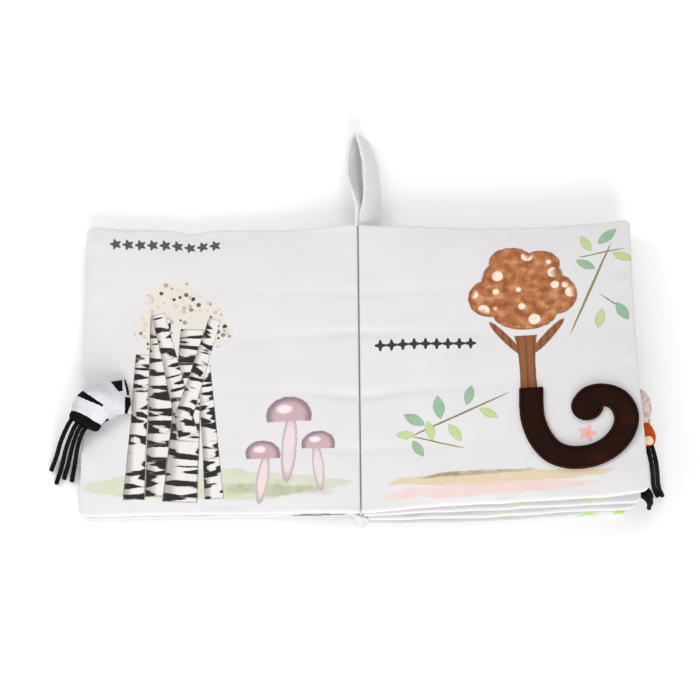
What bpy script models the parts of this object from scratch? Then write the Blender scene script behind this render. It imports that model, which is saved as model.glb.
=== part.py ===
"""A padded cloth book with crinkle film in its leaves, lying open after its second leaf.

Metres, +Z up. The origin is on the underside of the spine, midway along it.
+X runs to the right-hand page and +Y to the head of the book.
Leaves 1 and 2 lie to the left, leaf 1 beneath. Leaves 3 to 6 lie to the right, leaf 6 on the table.
"""

import math

import bmesh
import bpy
from mathutils import Vector

# Leaves
LEFT_LEAVES = 2
LAST_LEAF = 6
PAGE_WIDTH = 0.180
PAGE_HEIGHT = 0.200
EDGE_HALF = 0.0015
CROWN_HALF = 0.0031
PUFF_AT_SPINE = 0.060
PUFF_AT_EDGE = 0.024
CORNER_RADIUS = 0.0045
SIDE_DRAW = 0.0018
HEAD_DRAW_LEFT = 0.0016
HEAD_DRAW_RIGHT = 0.0060
FOOT_DRAW = 0.0012
CLOTH = 0.0008
GAP = 0.0003
LEAF_PITCH = 0.0046
LEAF_GAP = 0.0005
FLAT_CUT = 0.0005
TABLE_GAP = 0.0004
SETTLE = 0.042
DROOP = 0.075
FOOT_RISE = 0.033
RISE_POWER = 1.5

FILM = 0.0003

# Spine
BINDING_HALF = 0.0009
COVER_FOOT = 0.0038

# Carrying loop
LOOP_LENGTH = 0.0665
LOOP_WIDTH = 0.018
LOOP_OPENING = 0.0105
LOOP_TAPE = 0.0016
LOOP_SEWN = 0.010
LOOP_OFFSET = 0.0026
LOOP_TILT = math.radians(32)

# Striped plush tail on leaf 2
PLUSH_INSET = 0.0305
PLUSH_FROM_FOOT = 0.0797
PLUSH_REACH = 0.0268
PLUSH_DROP = 0.016
PLUSH_WIDTH = 0.0264
PLUSH_DEPTH = 0.013
BAND_LENGTH = 0.0045

# Felt tail on leaf 3
FELT_INSET = 0.0710
FELT_FROM_FOOT = 0.0751
FELT_CURL_WIDTH = 0.059
FELT_CURL_HEIGHT = 0.0474
FELT_BAND = 0.0155
FELT_LAYER = 0.0012

# Mottled tail on leaf 4
MOTTLED_INSET = 0.017
MOTTLED_FROM_FOOT = 0.0725
MOTTLED_REACH = 0.0166
MOTTLED_DROP = 0.0205
MOTTLED_WIDTH = 0.0135
MOTTLED_DEPTH = 0.0085
TIP_LENGTH = 0.0150

# Black tab and its cords on leaf 5
TAB_INSET = 0.021
TAB_FROM_FOOT = 0.024
TAB_LENGTH = 0.012
TAB_WIDTH = 0.013
TAB_DEPTH = 0.0032
TAB_LEAN_SHARES = (1.0, -0.55)

CORD = 0.003
CORD_STEP = 0.007
STEPS_ALONG_CORD = 8

# Stations of a panel, as shares of the length over which it puffs up
SPINE_STATION_SHARES = (0.0, 0.07, 0.2, 0.42, 0.7, 1.0)
EDGE_STATION_SHARES = (0.0, 0.17, 0.42, 0.72, 1.0)
STATIONS_CLEAR_AT_SEAM = 2
STATIONS_CLEAR_AT_SPINE = 3

# Half width of the loop along its length: share of the length, share of the widest
LOOP_SHARES = (
    (0.0, 0.25), (0.08, 0.40), (0.18, 0.70), (0.30, 0.93), (0.42, 1.0), (0.56, 1.0),
    (0.70, 0.92), (0.82, 0.76), (0.91, 0.54), (0.97, 0.31), (1.0, 0.0),
)

# Stuffed tails: reach share, drop share, width share, depth share
PLUSH_SHARES = (
    (0.0, 0.0, 0.87, 0.42), (0.15, 0.05, 0.88, 0.66), (0.34, 0.14, 0.90, 0.88),
    (0.58, 0.28, 0.97, 1.0), (0.77, 0.46, 1.0, 1.0), (0.90, 0.70, 0.96, 0.98), (1.0, 1.0, 0.84, 0.86),
)
MOTTLED_SHARES = (
    (0.0, 0.0, 0.78, 0.50), (0.54, -0.05, 0.92, 0.64), (0.90, 0.12, 1.0, 0.80),
    (0.98, 0.41, 1.0, 0.95), (0.94, 0.73, 0.92, 1.0), (1.0, 1.0, 0.74, 0.90),
)
TIP_SHARES = ((0.0, 0.68, 0.84), (0.28, 0.88, 0.96), (0.60, 0.90, 0.96), (0.85, 0.68, 0.76), (1.0, 0.42, 0.46))

# Centre line of the felt curl: shares of its width and height from the sewn end
FELT_ROUTE_SHARES = (
    (0.0, 0.0), (-0.005, 0.21), (0.007, 0.43), (0.075, 0.68), (0.185, 0.875), (0.33, 0.975),
    (0.49, 1.0), (0.65, 0.97), (0.81, 0.87), (0.93, 0.71), (0.995, 0.52), (0.985, 0.34),
    (0.91, 0.185), (0.78, 0.11), (0.655, 0.15), (0.59, 0.255),
)
FELT_END_SHARE = 1.12
STEPS_BETWEEN_STATIONS = 2
SWELLING_STATIONS = 5
ROUND_END_STATIONS = 4

# Routes of the cords, from the piece that they leave: along its run, sideways, down
PLUSH_CORD_ROUTES = (
    ((0.0, 0.0028, 0.0), (0.005, 0.0028, 0.0), (0.013, 0.0036, 0.0052), (0.022, 0.0058, 0.0140),
     (0.0326, 0.0092, 0.0172)),
    ((0.0, -0.0008, 0.0), (0.005, -0.0008, 0.0), (0.014, -0.0004, 0.0060), (0.024, 0.0008, 0.0150),
     (0.0335, 0.0026, 0.0172)),
    ((0.0, -0.0044, 0.0), (0.005, -0.0044, 0.0), (0.016, -0.0043, 0.0070), (0.027, -0.0032, 0.0158),
     (0.0385, -0.0012, 0.0172)),
    ((0.0, -0.0080, 0.0), (0.005, -0.0080, 0.0), (0.014, -0.0082, 0.0062), (0.023, -0.0076, 0.0150),
     (0.0325, -0.0064, 0.0172)),
)
MOTTLED_CORD_ROUTES = (
    ((0.0, 0.0017, 0.0), (0.005, 0.0017, 0.0), (0.010, 0.0014, 0.0040), (0.014, 0.0006, 0.0150),
     (0.0165, -0.0004, 0.0270), (0.019, -0.0014, 0.0345), (0.023, -0.0028, 0.0374)),
    ((0.0, -0.0017, 0.0), (0.005, -0.0017, 0.0), (0.0105, -0.0024, 0.0040), (0.015, -0.0036, 0.0150),
     (0.018, -0.0046, 0.0270), (0.0205, -0.0054, 0.0345), (0.025, -0.0064, 0.0374)),
)
TAB_CORD_ROUTES = (
    ((0.0, 0.0042, 0.0), (0.005, 0.0042, 0.0), (0.017, 0.0045, 0.0003), (0.025, 0.0049, 0.0010),
     (0.029, 0.0054, 0.0040), (0.031, 0.0059, 0.0090), (0.0318, 0.0062, 0.0145)),
    ((0.0, 0.0, 0.0), (0.005, 0.0, 0.0), (0.017, -0.0001, 0.0003), (0.0235, -0.0004, 0.0010),
     (0.028, -0.0007, 0.0040), (0.0305, -0.0009, 0.0095), (0.0315, -0.0010, 0.0155)),
    ((0.0, -0.0042, 0.0), (0.005, -0.0042, 0.0), (0.016, -0.0042, 0.0003), (0.0215, -0.0041, 0.0010),
     (0.0255, -0.0040, 0.0040), (0.028, -0.0039, 0.0090), (0.029, -0.0038, 0.0140)),
)

RING_SIDES = 14


def rise(share):
    """Smooth rise from 0 to 1 as the share goes from 0 to 1, and 1 after that."""
    return math.sin(math.pi / 2 * min(1.0, max(0.0, share)))


def crown(u, v):
    """Half thickness of a leaf, u from its spine edge and v from its foot."""
    puff = rise(u / PUFF_AT_SPINE) * rise((PAGE_WIDTH - u) / PUFF_AT_EDGE)
    puff *= rise(v / PUFF_AT_EDGE) * rise((PAGE_HEIGHT - v) / PUFF_AT_EDGE)
    return EDGE_HALF + (CROWN_HALF - EDGE_HALF) * puff


def ease(share):
    """Smooth step from 0 to 1, level at both ends."""
    share = min(1.0, max(0.0, share))
    return share * share * (3 - 2 * share)


LEAF_START = BINDING_HALF + GAP
LEAF_6_Z = CROWN_HALF - FLAT_CUT
TOP_Z = LEAF_6_Z + (LAST_LEAF - LEFT_LEAVES - 1) * LEAF_PITCH
HINGE_Z = TOP_Z + EDGE_HALF
FULL_PITCH = 2 * CROWN_HALF + LEAF_GAP

# Share of the foot's rise that each right-hand leaf takes, by its place in the stack from the table
RISE_SHARES = (0.0, 0.25, 0.55, 1.0)


def stack_pitch(u):
    """Distance between the middles of two leaves, u from the spine."""
    return LEAF_PITCH + (FULL_PITCH - LEAF_PITCH) * ease(u / SETTLE)


def middle(number, u, v):
    """Height of a leaf's middle. The right-hand stack lies flat at its head and fans open at its foot."""
    if number > LEFT_LEAVES:
        tier = LAST_LEAF - number
        across = min(1.0, max(0.0, u / PAGE_WIDTH))
        down = 1 - min(1.0, max(0.0, v / PAGE_HEIGHT))
        lift = RISE_SHARES[tier] * FOOT_RISE * across ** RISE_POWER * down
        return LEAF_6_Z + tier * stack_pitch(u) + lift
    start, rest = LEAF_6_Z + LEFT_LEAVES * LEAF_PITCH, CROWN_HALF + TABLE_GAP
    cover = start - (start - rest) * ease(u / DROOP)
    return cover if number == 1 else cover + stack_pitch(u)


def leaf_point(number, u, v, height):
    """World place of a point of a leaf: u from the spine, v from the foot, height off its middle."""
    side = 1 if number > LEFT_LEAVES else -1
    return Vector((side * (LEAF_START + u), v - PAGE_HEIGHT / 2, middle(number, u, v) + height))


def remove_all():
    for item in list(bpy.data.objects):
        bpy.data.objects.remove(item, do_unlink=True)


def material(name, colour, roughness):
    finish = bpy.data.materials.new(name)
    finish.use_nodes = True
    shader = finish.node_tree.nodes["Principled BSDF"]
    shader.inputs["Base Color"].default_value = (*colour, 1.0)
    shader.inputs["Roughness"].default_value = roughness
    shader.inputs["Metallic"].default_value = 0.0
    return finish


def body(name, pivot, parent=None):
    """An empty on a joint's axis, which carries the pieces of one moving body."""
    empty = bpy.data.objects.new(name, None)
    bpy.context.collection.objects.link(empty)
    empty["pivot"] = tuple(pivot)
    empty.location = pivot
    if parent:
        empty.parent = parent
        empty.location = Vector(pivot) - Vector(parent["pivot"])
    return empty


def add(name, data, finish, carrier):
    item = bpy.data.objects.new(name, data)
    bpy.context.collection.objects.link(item)
    data.materials.append(finish)
    item.parent = carrier
    return item


def solid(name, points, faces, finish, carrier):
    """One closed mesh from world points, its faces turned outwards."""
    pivot = Vector(carrier["pivot"])
    shape = bmesh.new()
    corners = [shape.verts.new(Vector(point) - pivot) for point in points]
    for face in faces:
        shape.faces.new([corners[index] for index in face])
    bmesh.ops.recalc_face_normals(shape, faces=shape.faces)
    mesh = bpy.data.meshes.new(name)
    shape.to_mesh(mesh)
    shape.free()
    mesh.shade_smooth()
    mesh.set_sharp_from_angle(angle=math.radians(50))
    return add(name, mesh, finish, carrier)


def sheet(name, columns, rows, upper, lower, finish, carrier):
    """A closed slab between two surfaces over a grid. Its cells are split alike, so that layers nest."""
    wide, deep = len(columns), len(rows)
    points = [upper(u, v) for u in columns for v in rows]
    points += [lower(u, v) for u in columns for v in rows]
    under = wide * deep
    faces = []
    for i in range(wide - 1):
        for j in range(deep - 1):
            a, b, c, d = i * deep + j, (i + 1) * deep + j, (i + 1) * deep + j + 1, i * deep + j + 1
            faces += [(a, b, c), (a, c, d)]
            faces += [(under + c, under + b, under + a), (under + d, under + c, under + a)]
    rim = [i * deep for i in range(wide)]
    rim += [(wide - 1) * deep + j for j in range(1, deep)]
    rim += [i * deep + deep - 1 for i in range(wide - 2, -1, -1)]
    rim += [j for j in range(deep - 2, 0, -1)]
    for here, there in zip(rim, rim[1:] + rim[:1]):
        faces.append((here, under + here, under + there, there))
    return solid(name, points, faces, finish, carrier)


def loft(name, rings, finish, carrier):
    """A closed skin over rings of points, with a flat face at each end."""
    count = len(rings[0])
    points = [point for ring in rings for point in ring]
    faces = []
    for row in range(len(rings) - 1):
        for k in range(count):
            following = (k + 1) % count
            a, b = row * count + k, row * count + following
            faces.append((a, b, b + count, a + count))
    faces.append(tuple(range(count)))
    last = (len(rings) - 1) * count
    faces.append(tuple(last + k for k in range(count)))
    return solid(name, points, faces, finish, carrier)


def smooth(points, steps):
    """Points along a smooth curve through the given ones."""
    points = [Vector(point) for point in points]
    ends = [2 * points[0] - points[1]] + points + [2 * points[-1] - points[-2]]
    curve = []
    for a, b, c, d in zip(ends, ends[1:], ends[2:], ends[3:]):
        for step in range(steps):
            t = step / steps
            curve.append((2 * b + (c - a) * t + (2 * a - 5 * b + 4 * c - d) * t * t
                          + (3 * b - a - 3 * c + d) * t ** 3) / 2)
    curve.append(points[-1])
    return curve


def cord(name, points, finish, carrier):
    """A round cord on a smooth route through world points, with flat ends."""
    route = smooth(points, STEPS_ALONG_CORD)
    length = sum((b - a).length for a, b in zip(route, route[1:]))
    count = max(3, round(length / CORD_STEP))
    spaced, travelled, wanted = [route[0]], 0.0, length / count
    for a, b in zip(route, route[1:]):
        travelled += (b - a).length
        if travelled >= wanted * len(spaced) and len(spaced) < count:
            spaced.append(b)
    spaced.append(route[-1])
    pivot = Vector(carrier["pivot"])
    curve = bpy.data.curves.new(name, "CURVE")
    curve.dimensions = "3D"
    curve.bevel_depth = CORD / 2
    curve.bevel_resolution = 2
    curve.use_fill_caps = True
    spline = curve.splines.new("POLY")
    spline.points.add(len(spaced) - 1)
    for slot, point in zip(spline.points, spaced):
        slot.co = (*(point - pivot), 1.0)
    return add(name, curve, finish, carrier)


def page_place(number, u, v):
    """Where a panel's grid point lies once its sides are drawn in and its corners rounded."""
    across, along = u / PAGE_WIDTH, v / PAGE_HEIGHT
    head_draw = HEAD_DRAW_RIGHT if number > LEFT_LEAVES else HEAD_DRAW_LEFT
    x = u - SIDE_DRAW * 4 * along * (1 - along) * across
    y = v + 4 * across * (1 - across) * (FOOT_DRAW * (1 - along) - head_draw * along)
    if across == 1 and along in (0, 1):
        cut = CORNER_RADIUS * (1 - math.sqrt(1 / 2))
        x -= cut
        y += cut if along == 0 else -cut
    return x, y


def panel_columns():
    near = [share * PUFF_AT_SPINE for share in SPINE_STATION_SHARES]
    far = [PAGE_WIDTH - share * PUFF_AT_EDGE for share in reversed(EDGE_STATION_SHARES)]
    third = (far[0] - near[-1]) / 3
    return near + [near[-1] + third, near[-1] + 2 * third] + far


def panel_rows():
    foot = [share * PUFF_AT_EDGE for share in EDGE_STATION_SHARES]
    head = [PAGE_HEIGHT - value for value in reversed(foot)]
    third = (head[0] - foot[-1]) / 3
    return foot + [foot[-1] + third, foot[-1] + 2 * third] + head


def above(point, floor):
    """The point, lifted to the floor where it would lie lower."""
    return Vector((point.x, point.y, max(point.z, floor)))


def panel(number, side, finish, carrier):
    """One cloth panel of a leaf, on its upper (1) or lower (-1) side."""
    name = f"leaf_{number}_{'upper' if side > 0 else 'lower'}_panel"
    columns, rows = panel_columns(), panel_rows()
    seam_columns = columns[:STATIONS_CLEAR_AT_SEAM] + columns[-STATIONS_CLEAR_AT_SEAM:]
    seam_rows = rows[:STATIONS_CLEAR_AT_SEAM] + rows[-STATIONS_CLEAR_AT_SEAM:]

    def outer(u, v):
        x, y = page_place(number, u, v)
        return above(leaf_point(number, x, y, side * crown(u, v)), 0.0)

    def inner(u, v):
        x, y = page_place(number, u, v)
        at_seam = u in seam_columns or v in seam_rows
        height = GAP / 2 if at_seam else crown(u, v) - CLOTH
        return above(leaf_point(number, x, y, side * height), CLOTH)

    return sheet(name, columns, rows, outer, inner, finish, carrier)


def filling(name, number, top, bottom, finish, carrier):
    """A layer inside a leaf between two depths under its upper and lower panels."""
    columns = panel_columns()[STATIONS_CLEAR_AT_SPINE:-STATIONS_CLEAR_AT_SEAM]
    rows = panel_rows()[STATIONS_CLEAR_AT_SEAM:-STATIONS_CLEAR_AT_SEAM]
    least = CLOTH + GAP

    def upper(u, v):
        x, y = page_place(number, u, v)
        return above(leaf_point(number, x, y, top(crown(u, v) - CLOTH)), least)

    def lower(u, v):
        x, y = page_place(number, u, v)
        return above(leaf_point(number, x, y, bottom(crown(u, v) - CLOTH)), least)

    return sheet(name, columns, rows, upper, lower, finish, carrier)


def leaf(number, cloth, wadding, film, carrier):
    """A leaf: two panels sewn at their edges round a layer of wadding and one of crinkle film."""
    panel(number, 1, cloth, carrier)
    panel(number, -1, cloth, carrier)
    filling(f"leaf_{number}_crinkle_film", number, lambda room: room - GAP,
            lambda room: room - GAP - FILM, film, carrier)
    filling(f"leaf_{number}_padding", number, lambda room: room - 2 * GAP - FILM,
            lambda room: GAP - room, wadding, carrier)


def bar(name, outline, start, stop, finish, carrier):
    """A bar along Y with the given outline in X and Z."""
    rings = [[Vector((x, y, z)) for x, z in outline] for y in (start, stop)]
    return loft(name, rings, finish, carrier)


def spine(cloth, carrier):
    half = PAGE_HEIGHT / 2
    low = CLOTH + GAP
    bar("spine_binding", ((-BINDING_HALF, low), (BINDING_HALF, low), (BINDING_HALF, HINGE_Z),
                          (-BINDING_HALF, HINGE_Z)), -half, half, cloth, carrier)
    top = middle(1, 0, 0) - EDGE_HALF - 2 * GAP
    inside = -BINDING_HALF - GAP
    outside = inside - CLOTH
    foot = outside + COVER_FOOT
    bar("spine_cover", ((outside, 0.0), (foot, 0.0), (foot, CLOTH), (inside, CLOTH), (inside, top),
                        (outside, top)), -half, half, cloth, carrier)


def loop_outline(start, length, widest):
    """Outline of the loop in X and Y, from the right of its base round the tip to the left."""
    right = [Vector((LOOP_OFFSET + share * widest, start + along * length, 0))
             for along, share in LOOP_SHARES]
    left = [Vector((2 * LOOP_OFFSET - point.x, point.y, 0)) for point in reversed(right[:-1])]
    return right + left


def carry_loop(cloth, carrier):
    """A cloth tape folded into a loop, its width leaning to the right on its way down."""
    base = PAGE_HEIGHT / 2 + GAP
    widest = LOOP_OPENING / 2
    outer = loop_outline(base, LOOP_LENGTH, widest + LOOP_TAPE)
    inner = loop_outline(base + LOOP_SEWN, LOOP_LENGTH - LOOP_SEWN - LOOP_TAPE, widest)
    middle = Vector((0, 0, HINGE_Z - GAP - LOOP_WIDTH / 2 * math.cos(LOOP_TILT)))
    lean = Vector((-math.sin(LOOP_TILT), 0, math.cos(LOOP_TILT))) * LOOP_WIDTH / 2
    count = len(outer)
    points = []
    for outline in (outer, inner):
        for shift in (lean, -lean):
            points += [point + middle + shift for point in outline]
    outer_top, outer_low, inner_top, inner_low = 0, count, 2 * count, 3 * count
    faces = []
    for k in range(count):
        n = (k + 1) % count
        faces.append((outer_top + k, outer_top + n, outer_low + n, outer_low + k))
        faces.append((inner_top + k, inner_top + n, inner_low + n, inner_low + k))
        faces.append((outer_top + k, outer_top + n, inner_top + n, inner_top + k))
        faces.append((outer_low + k, outer_low + n, inner_low + n, inner_low + k))
    solid("carry_loop", points, faces, cloth, carrier)


def stuffed(name, number, places, finish, carrier):
    """A stuffed form over a leaf. Each place is u, v, height of its middle, width and depth."""
    flat = [Vector((u, v, 0)) for u, v, _, _, _ in places]
    rings = []
    for index, (u, v, height, width, depth) in enumerate(places):
        along = flat[min(index + 1, len(flat) - 1)] - flat[max(index - 1, 0)]
        along.normalize()
        ring = []
        for k in range(RING_SIDES):
            turn = 2 * math.pi * k / RING_SIDES
            side = width / 2 * math.cos(turn)
            ring.append(leaf_point(number, u - along.y * side, v + along.x * side,
                                   height + depth / 2 * math.sin(turn)))
        rings.append(ring)
    return loft(name, rings, finish, carrier)


def end_of(places):
    """The last place of a stuffed form and the way that the form runs there."""
    along = Vector((places[-1][0] - places[-2][0], places[-1][1] - places[-2][1]))
    return places[-1], along.normalized()


def carried_on(places, distance, width, depth):
    """A place further along the way that a stuffed form runs at its end."""
    (u, v, height, _, _), along = end_of(places)
    return (u + along.x * distance, v + along.y * distance, height, width, depth)


def smooth_places(places):
    """The places of a stuffed form, with one more between each two."""
    fine = smooth([Vector(place) for place in places], STEPS_BETWEEN_STATIONS)
    return [tuple(place) for place in fine]


def hanging_cords(stem, number, places, routes, finish, carrier):
    """Cords that leave the end of a stuffed form along its run, spread sideways and fall."""
    (u, v, height, _, _), along = end_of(places)
    for index, route in enumerate(routes, 1):
        points = []
        for run, sideways, fall in route:
            ahead = GAP + run
            points.append(leaf_point(number, u + along.x * ahead + along.y * sideways,
                                     v + along.y * ahead - along.x * sideways, height - fall))
        cord(f"{stem}_{index}", points, finish, carrier)


def plush_places():
    seat = CROWN_HALF + GAP
    start = PAGE_WIDTH - PLUSH_INSET
    rows = []
    for reach, drop, width, depth in PLUSH_SHARES:
        thick = depth * PLUSH_DEPTH
        rows.append((start + reach * PLUSH_REACH, PLUSH_FROM_FOOT - drop * PLUSH_DROP,
                     seat + thick / 2, width * PLUSH_WIDTH, thick))
    return smooth_places(rows)


def striped_tail(plush, band, black, carrier):
    places = plush_places()
    stuffed("striped_tail", 2, places, plush, carrier)
    _, _, _, width, depth = places[-1]
    collar = [carried_on(places, GAP, width, depth), carried_on(places, GAP + BAND_LENGTH / 2, width, depth),
              carried_on(places, GAP + BAND_LENGTH, width, depth)]
    stuffed("striped_tail_band", 2, collar, band, carrier)
    hanging_cords("striped_tail_cord", 2, collar, PLUSH_CORD_ROUTES, black, carrier)


def felt_outline():
    """Left and right edges of the felt band along its smooth centre line, with a round end."""
    start = PAGE_WIDTH - FELT_INSET
    route = [(start + across * FELT_CURL_WIDTH, FELT_FROM_FOOT - down * FELT_CURL_HEIGHT, 0)
             for across, down in FELT_ROUTE_SHARES]
    line = smooth(route, STEPS_BETWEEN_STATIONS)
    half = FELT_BAND / 2
    pairs = []
    for index, point in enumerate(line):
        along = (line[min(index + 1, len(line) - 1)] - line[max(index - 1, 0)]).normalized()
        swell = 1 + (FELT_END_SHARE - 1) * rise(1 + (index + 1 - len(line)) / SWELLING_STATIONS)
        if index == 0:
            along = Vector((0, -1, 0))
        across = Vector((-along.y, along.x, 0)) * half * swell
        pairs.append((point + across, point - across))
    across = (pairs[-1][0] - pairs[-1][1]) / 2
    ahead = Vector((across.y, -across.x, 0))
    centre = line[-1]
    for step in range(1, ROUND_END_STATIONS + 1):
        turn = math.pi / 2 * step / (ROUND_END_STATIONS + 1 / 2)
        pairs.append((centre + across * math.cos(turn) + ahead * math.sin(turn),
                      centre - across * math.cos(turn) + ahead * math.sin(turn)))
    return pairs


def felt_tail(felt, carrier):
    """Two layers of felt, one on the other, with the same curl."""
    pairs = felt_outline()
    for layer, name in enumerate(("felt_tail_lower_layer", "felt_tail_upper_layer")):
        low = CROWN_HALF + GAP + layer * (FELT_LAYER + GAP)
        high = low + FELT_LAYER
        rings = []
        for left, right in pairs:
            rings.append([leaf_point(3, left.x, left.y, low), leaf_point(3, right.x, right.y, low),
                          leaf_point(3, right.x, right.y, high), leaf_point(3, left.x, left.y, high)])
        loft(name, rings, felt, carrier)


def mottled_places():
    seat = CROWN_HALF + GAP
    start = PAGE_WIDTH - MOTTLED_INSET
    rows = []
    for reach, drop, width, depth in MOTTLED_SHARES:
        thick = depth * MOTTLED_DEPTH
        rows.append((start + reach * MOTTLED_REACH, MOTTLED_FROM_FOOT - drop * MOTTLED_DROP,
                     seat + thick / 2, width * MOTTLED_WIDTH, thick))
    return smooth_places(rows)


def mottled_tail(plush, amber, black, carrier):
    places = mottled_places()
    stuffed("mottled_tail", 4, places, plush, carrier)
    tip = [carried_on(places, GAP + share * TIP_LENGTH, width * MOTTLED_WIDTH, depth * MOTTLED_DEPTH)
           for share, width, depth in TIP_SHARES]
    stuffed("mottled_tail_tip", 4, tip, amber, carrier)
    hanging_cords("mottled_tail_cord", 4, tip, MOTTLED_CORD_ROUTES, black, carrier)


def tab_and_cords(black, carrier):
    """A black tab sewn on leaf 5 near its lower corner, with three cords out of its end."""
    lean = Vector(TAB_LEAN_SHARES).normalized()
    u, v = PAGE_WIDTH - TAB_INSET, TAB_FROM_FOOT
    height = CROWN_HALF + GAP + TAB_DEPTH / 2
    places = [(u - lean.x * TAB_LENGTH, v - lean.y * TAB_LENGTH, height, TAB_WIDTH, TAB_DEPTH),
              (u - lean.x * TAB_LENGTH / 2, v - lean.y * TAB_LENGTH / 2, height, TAB_WIDTH, TAB_DEPTH),
              (u, v, height, TAB_WIDTH, TAB_DEPTH)]
    stuffed("corner_tab", 5, places, black, carrier)
    hanging_cords("corner_cord", 5, places, TAB_CORD_ROUTES, black, carrier)


def build():
    remove_all()
    cloth = material("page_cloth", (0.79, 0.77, 0.79), 0.85)
    tape = material("loop_cloth", (0.75, 0.73, 0.74), 0.85)
    wadding = material("wadding", (0.9, 0.9, 0.88), 0.95)
    film = material("crinkle_film", (0.8, 0.82, 0.85), 0.3)
    plush = material("striped_plush", (0.81, 0.80, 0.85), 0.95)
    black = material("black_cord", (0.008, 0.008, 0.008), 0.7)
    felt = material("brown_felt", (0.03, 0.009, 0.006), 0.95)
    mottled = material("mottled_plush", (0.45, 0.29, 0.22), 0.95)
    amber = material("amber_plush", (0.6, 0.12, 0.01), 0.95)

    hinge = Vector((0, 0, HINGE_Z))
    root = body("spine_body", Vector((0, 0, 0)))
    carriers = {LAST_LEAF: root}
    for number in (3, 4, 5, 1):
        carriers[number] = body(f"leaf_{number}_body", hinge, root)
    carriers[2] = body("leaf_2_body", hinge, carriers[1])
    for number in range(1, LAST_LEAF + 1):
        leaf(number, cloth, wadding, film, carriers[number])

    spine(cloth, root)
    loop_body = body("loop_body", Vector((LOOP_OFFSET, PAGE_HEIGHT / 2, HINGE_Z)), root)
    carry_loop(tape, loop_body)

    seat = CROWN_HALF + GAP
    plush_pivot = leaf_point(2, PAGE_WIDTH - PLUSH_INSET, PLUSH_FROM_FOOT, seat)
    striped_tail(plush, black, black, body("striped_tail_body", plush_pivot, carriers[2]))
    felt_top = seat + 2 * FELT_LAYER + GAP
    felt_pivot = leaf_point(3, PAGE_WIDTH - FELT_INSET, FELT_FROM_FOOT, felt_top)
    felt_tail(felt, body("felt_tail_body", felt_pivot, carriers[3]))
    mottled_pivot = leaf_point(4, PAGE_WIDTH - MOTTLED_INSET, MOTTLED_FROM_FOOT, seat)
    mottled_tail(mottled, amber, black, body("mottled_tail_body", mottled_pivot, carriers[4]))
    tab_and_cords(black, carriers[5])


build()
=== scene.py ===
import math

import bpy
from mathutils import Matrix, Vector, noise


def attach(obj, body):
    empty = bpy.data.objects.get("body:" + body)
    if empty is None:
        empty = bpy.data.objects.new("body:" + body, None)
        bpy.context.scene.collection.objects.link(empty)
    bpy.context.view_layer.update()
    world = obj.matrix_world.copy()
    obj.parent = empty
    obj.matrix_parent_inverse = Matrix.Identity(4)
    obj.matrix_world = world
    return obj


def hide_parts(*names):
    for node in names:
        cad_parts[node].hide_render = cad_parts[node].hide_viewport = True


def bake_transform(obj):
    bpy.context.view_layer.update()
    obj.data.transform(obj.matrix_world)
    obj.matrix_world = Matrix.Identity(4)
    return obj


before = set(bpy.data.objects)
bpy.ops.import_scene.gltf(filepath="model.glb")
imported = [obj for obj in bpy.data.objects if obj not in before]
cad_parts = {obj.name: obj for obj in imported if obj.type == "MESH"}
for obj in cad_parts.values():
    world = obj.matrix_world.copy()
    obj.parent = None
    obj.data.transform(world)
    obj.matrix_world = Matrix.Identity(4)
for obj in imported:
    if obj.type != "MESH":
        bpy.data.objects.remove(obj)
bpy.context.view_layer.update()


# The six padded leaves. Each is two cloth panels sewn together round its head, foot and free side, turned
# out and filled, so its edges are rolled and its seam is a fine groove. Two lie to the left, four to the
# right, where the stack lies flat at its head and fans open at its foot.
PAGE_WIDTH = 0.180
PAGE_HEIGHT = 0.200
LEFT_LEAVES = 2
LAST_LEAF = 6
EDGE_HALF = 0.0015
CROWN_HALF = 0.0031
PUFF_AT_SPINE = 0.060
PUFF_AT_EDGE = 0.024
GAP = 0.0003
LEAF_PITCH = 0.0046
FULL_PITCH = 0.0067
SETTLE = 0.042
DROOP = 0.075
LEAF_START = 0.0012
LEAF_6_Z = 0.0026
COVER_Z = 0.0035
FOOT_RISE = 0.033
RISE_SHARES = (0.0, 0.25, 0.55, 1.0)
EDGE_OVER_RIDGE = 0.0008
CORNER_RADIUS = 0.0055
SLUMP = {4: 0.0012, 5: 0.0031, 6: 0.0050}
SKEW = {4: 0.0034, 5: 0.0044, 6: 0.0080}
CLOTH = 0.0003
SEAM_INSET = 0.00045
# Creases out of the spine: place from the foot, slope, and share of the depth
CREASES = ((0.154, 0.05, 0.7), (0.127, -0.04, 0.9), (0.083, 0.06, 1.0), (0.046, 0.02, 0.6))
CREASE_DEPTH = 0.0014
CREASE_HALF = 0.0030
CREASE_LENGTH = 0.048


def rise(share):
    return math.sin(math.pi / 2 * min(1.0, max(0.0, share)))


def ease(share):
    share = min(1.0, max(0.0, share))
    return share * share * (3 - 2 * share)


def crown(u, v):
    """Half thickness of a leaf, u from its spine edge and v from its foot."""
    puff = rise(u / PUFF_AT_SPINE) * rise((PAGE_WIDTH - u) / PUFF_AT_EDGE)
    puff *= rise(v / PUFF_AT_EDGE) * rise((PAGE_HEIGHT - v) / PUFF_AT_EDGE)
    return EDGE_HALF + (CROWN_HALF - EDGE_HALF) * puff


def stack_pitch(u):
    return LEAF_PITCH + (FULL_PITCH - LEAF_PITCH) * ease(u / SETTLE)


def middle(number, u, v):
    """Height of a leaf's middle over the table."""
    if number > LEFT_LEAVES:
        tier = LAST_LEAF - number
        across = min(1.0, max(0.0, u / PAGE_WIDTH))
        down = 1 - min(1.0, max(0.0, v / PAGE_HEIGHT))
        return LEAF_6_Z + tier * stack_pitch(u) + RISE_SHARES[tier] * FOOT_RISE * across ** 1.5 * down
    start = LEAF_6_Z + LEFT_LEAVES * LEAF_PITCH
    cover = start - (start - COVER_Z) * ease(u / DROOP)
    return cover if number == 1 else cover + stack_pitch(u)


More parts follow.
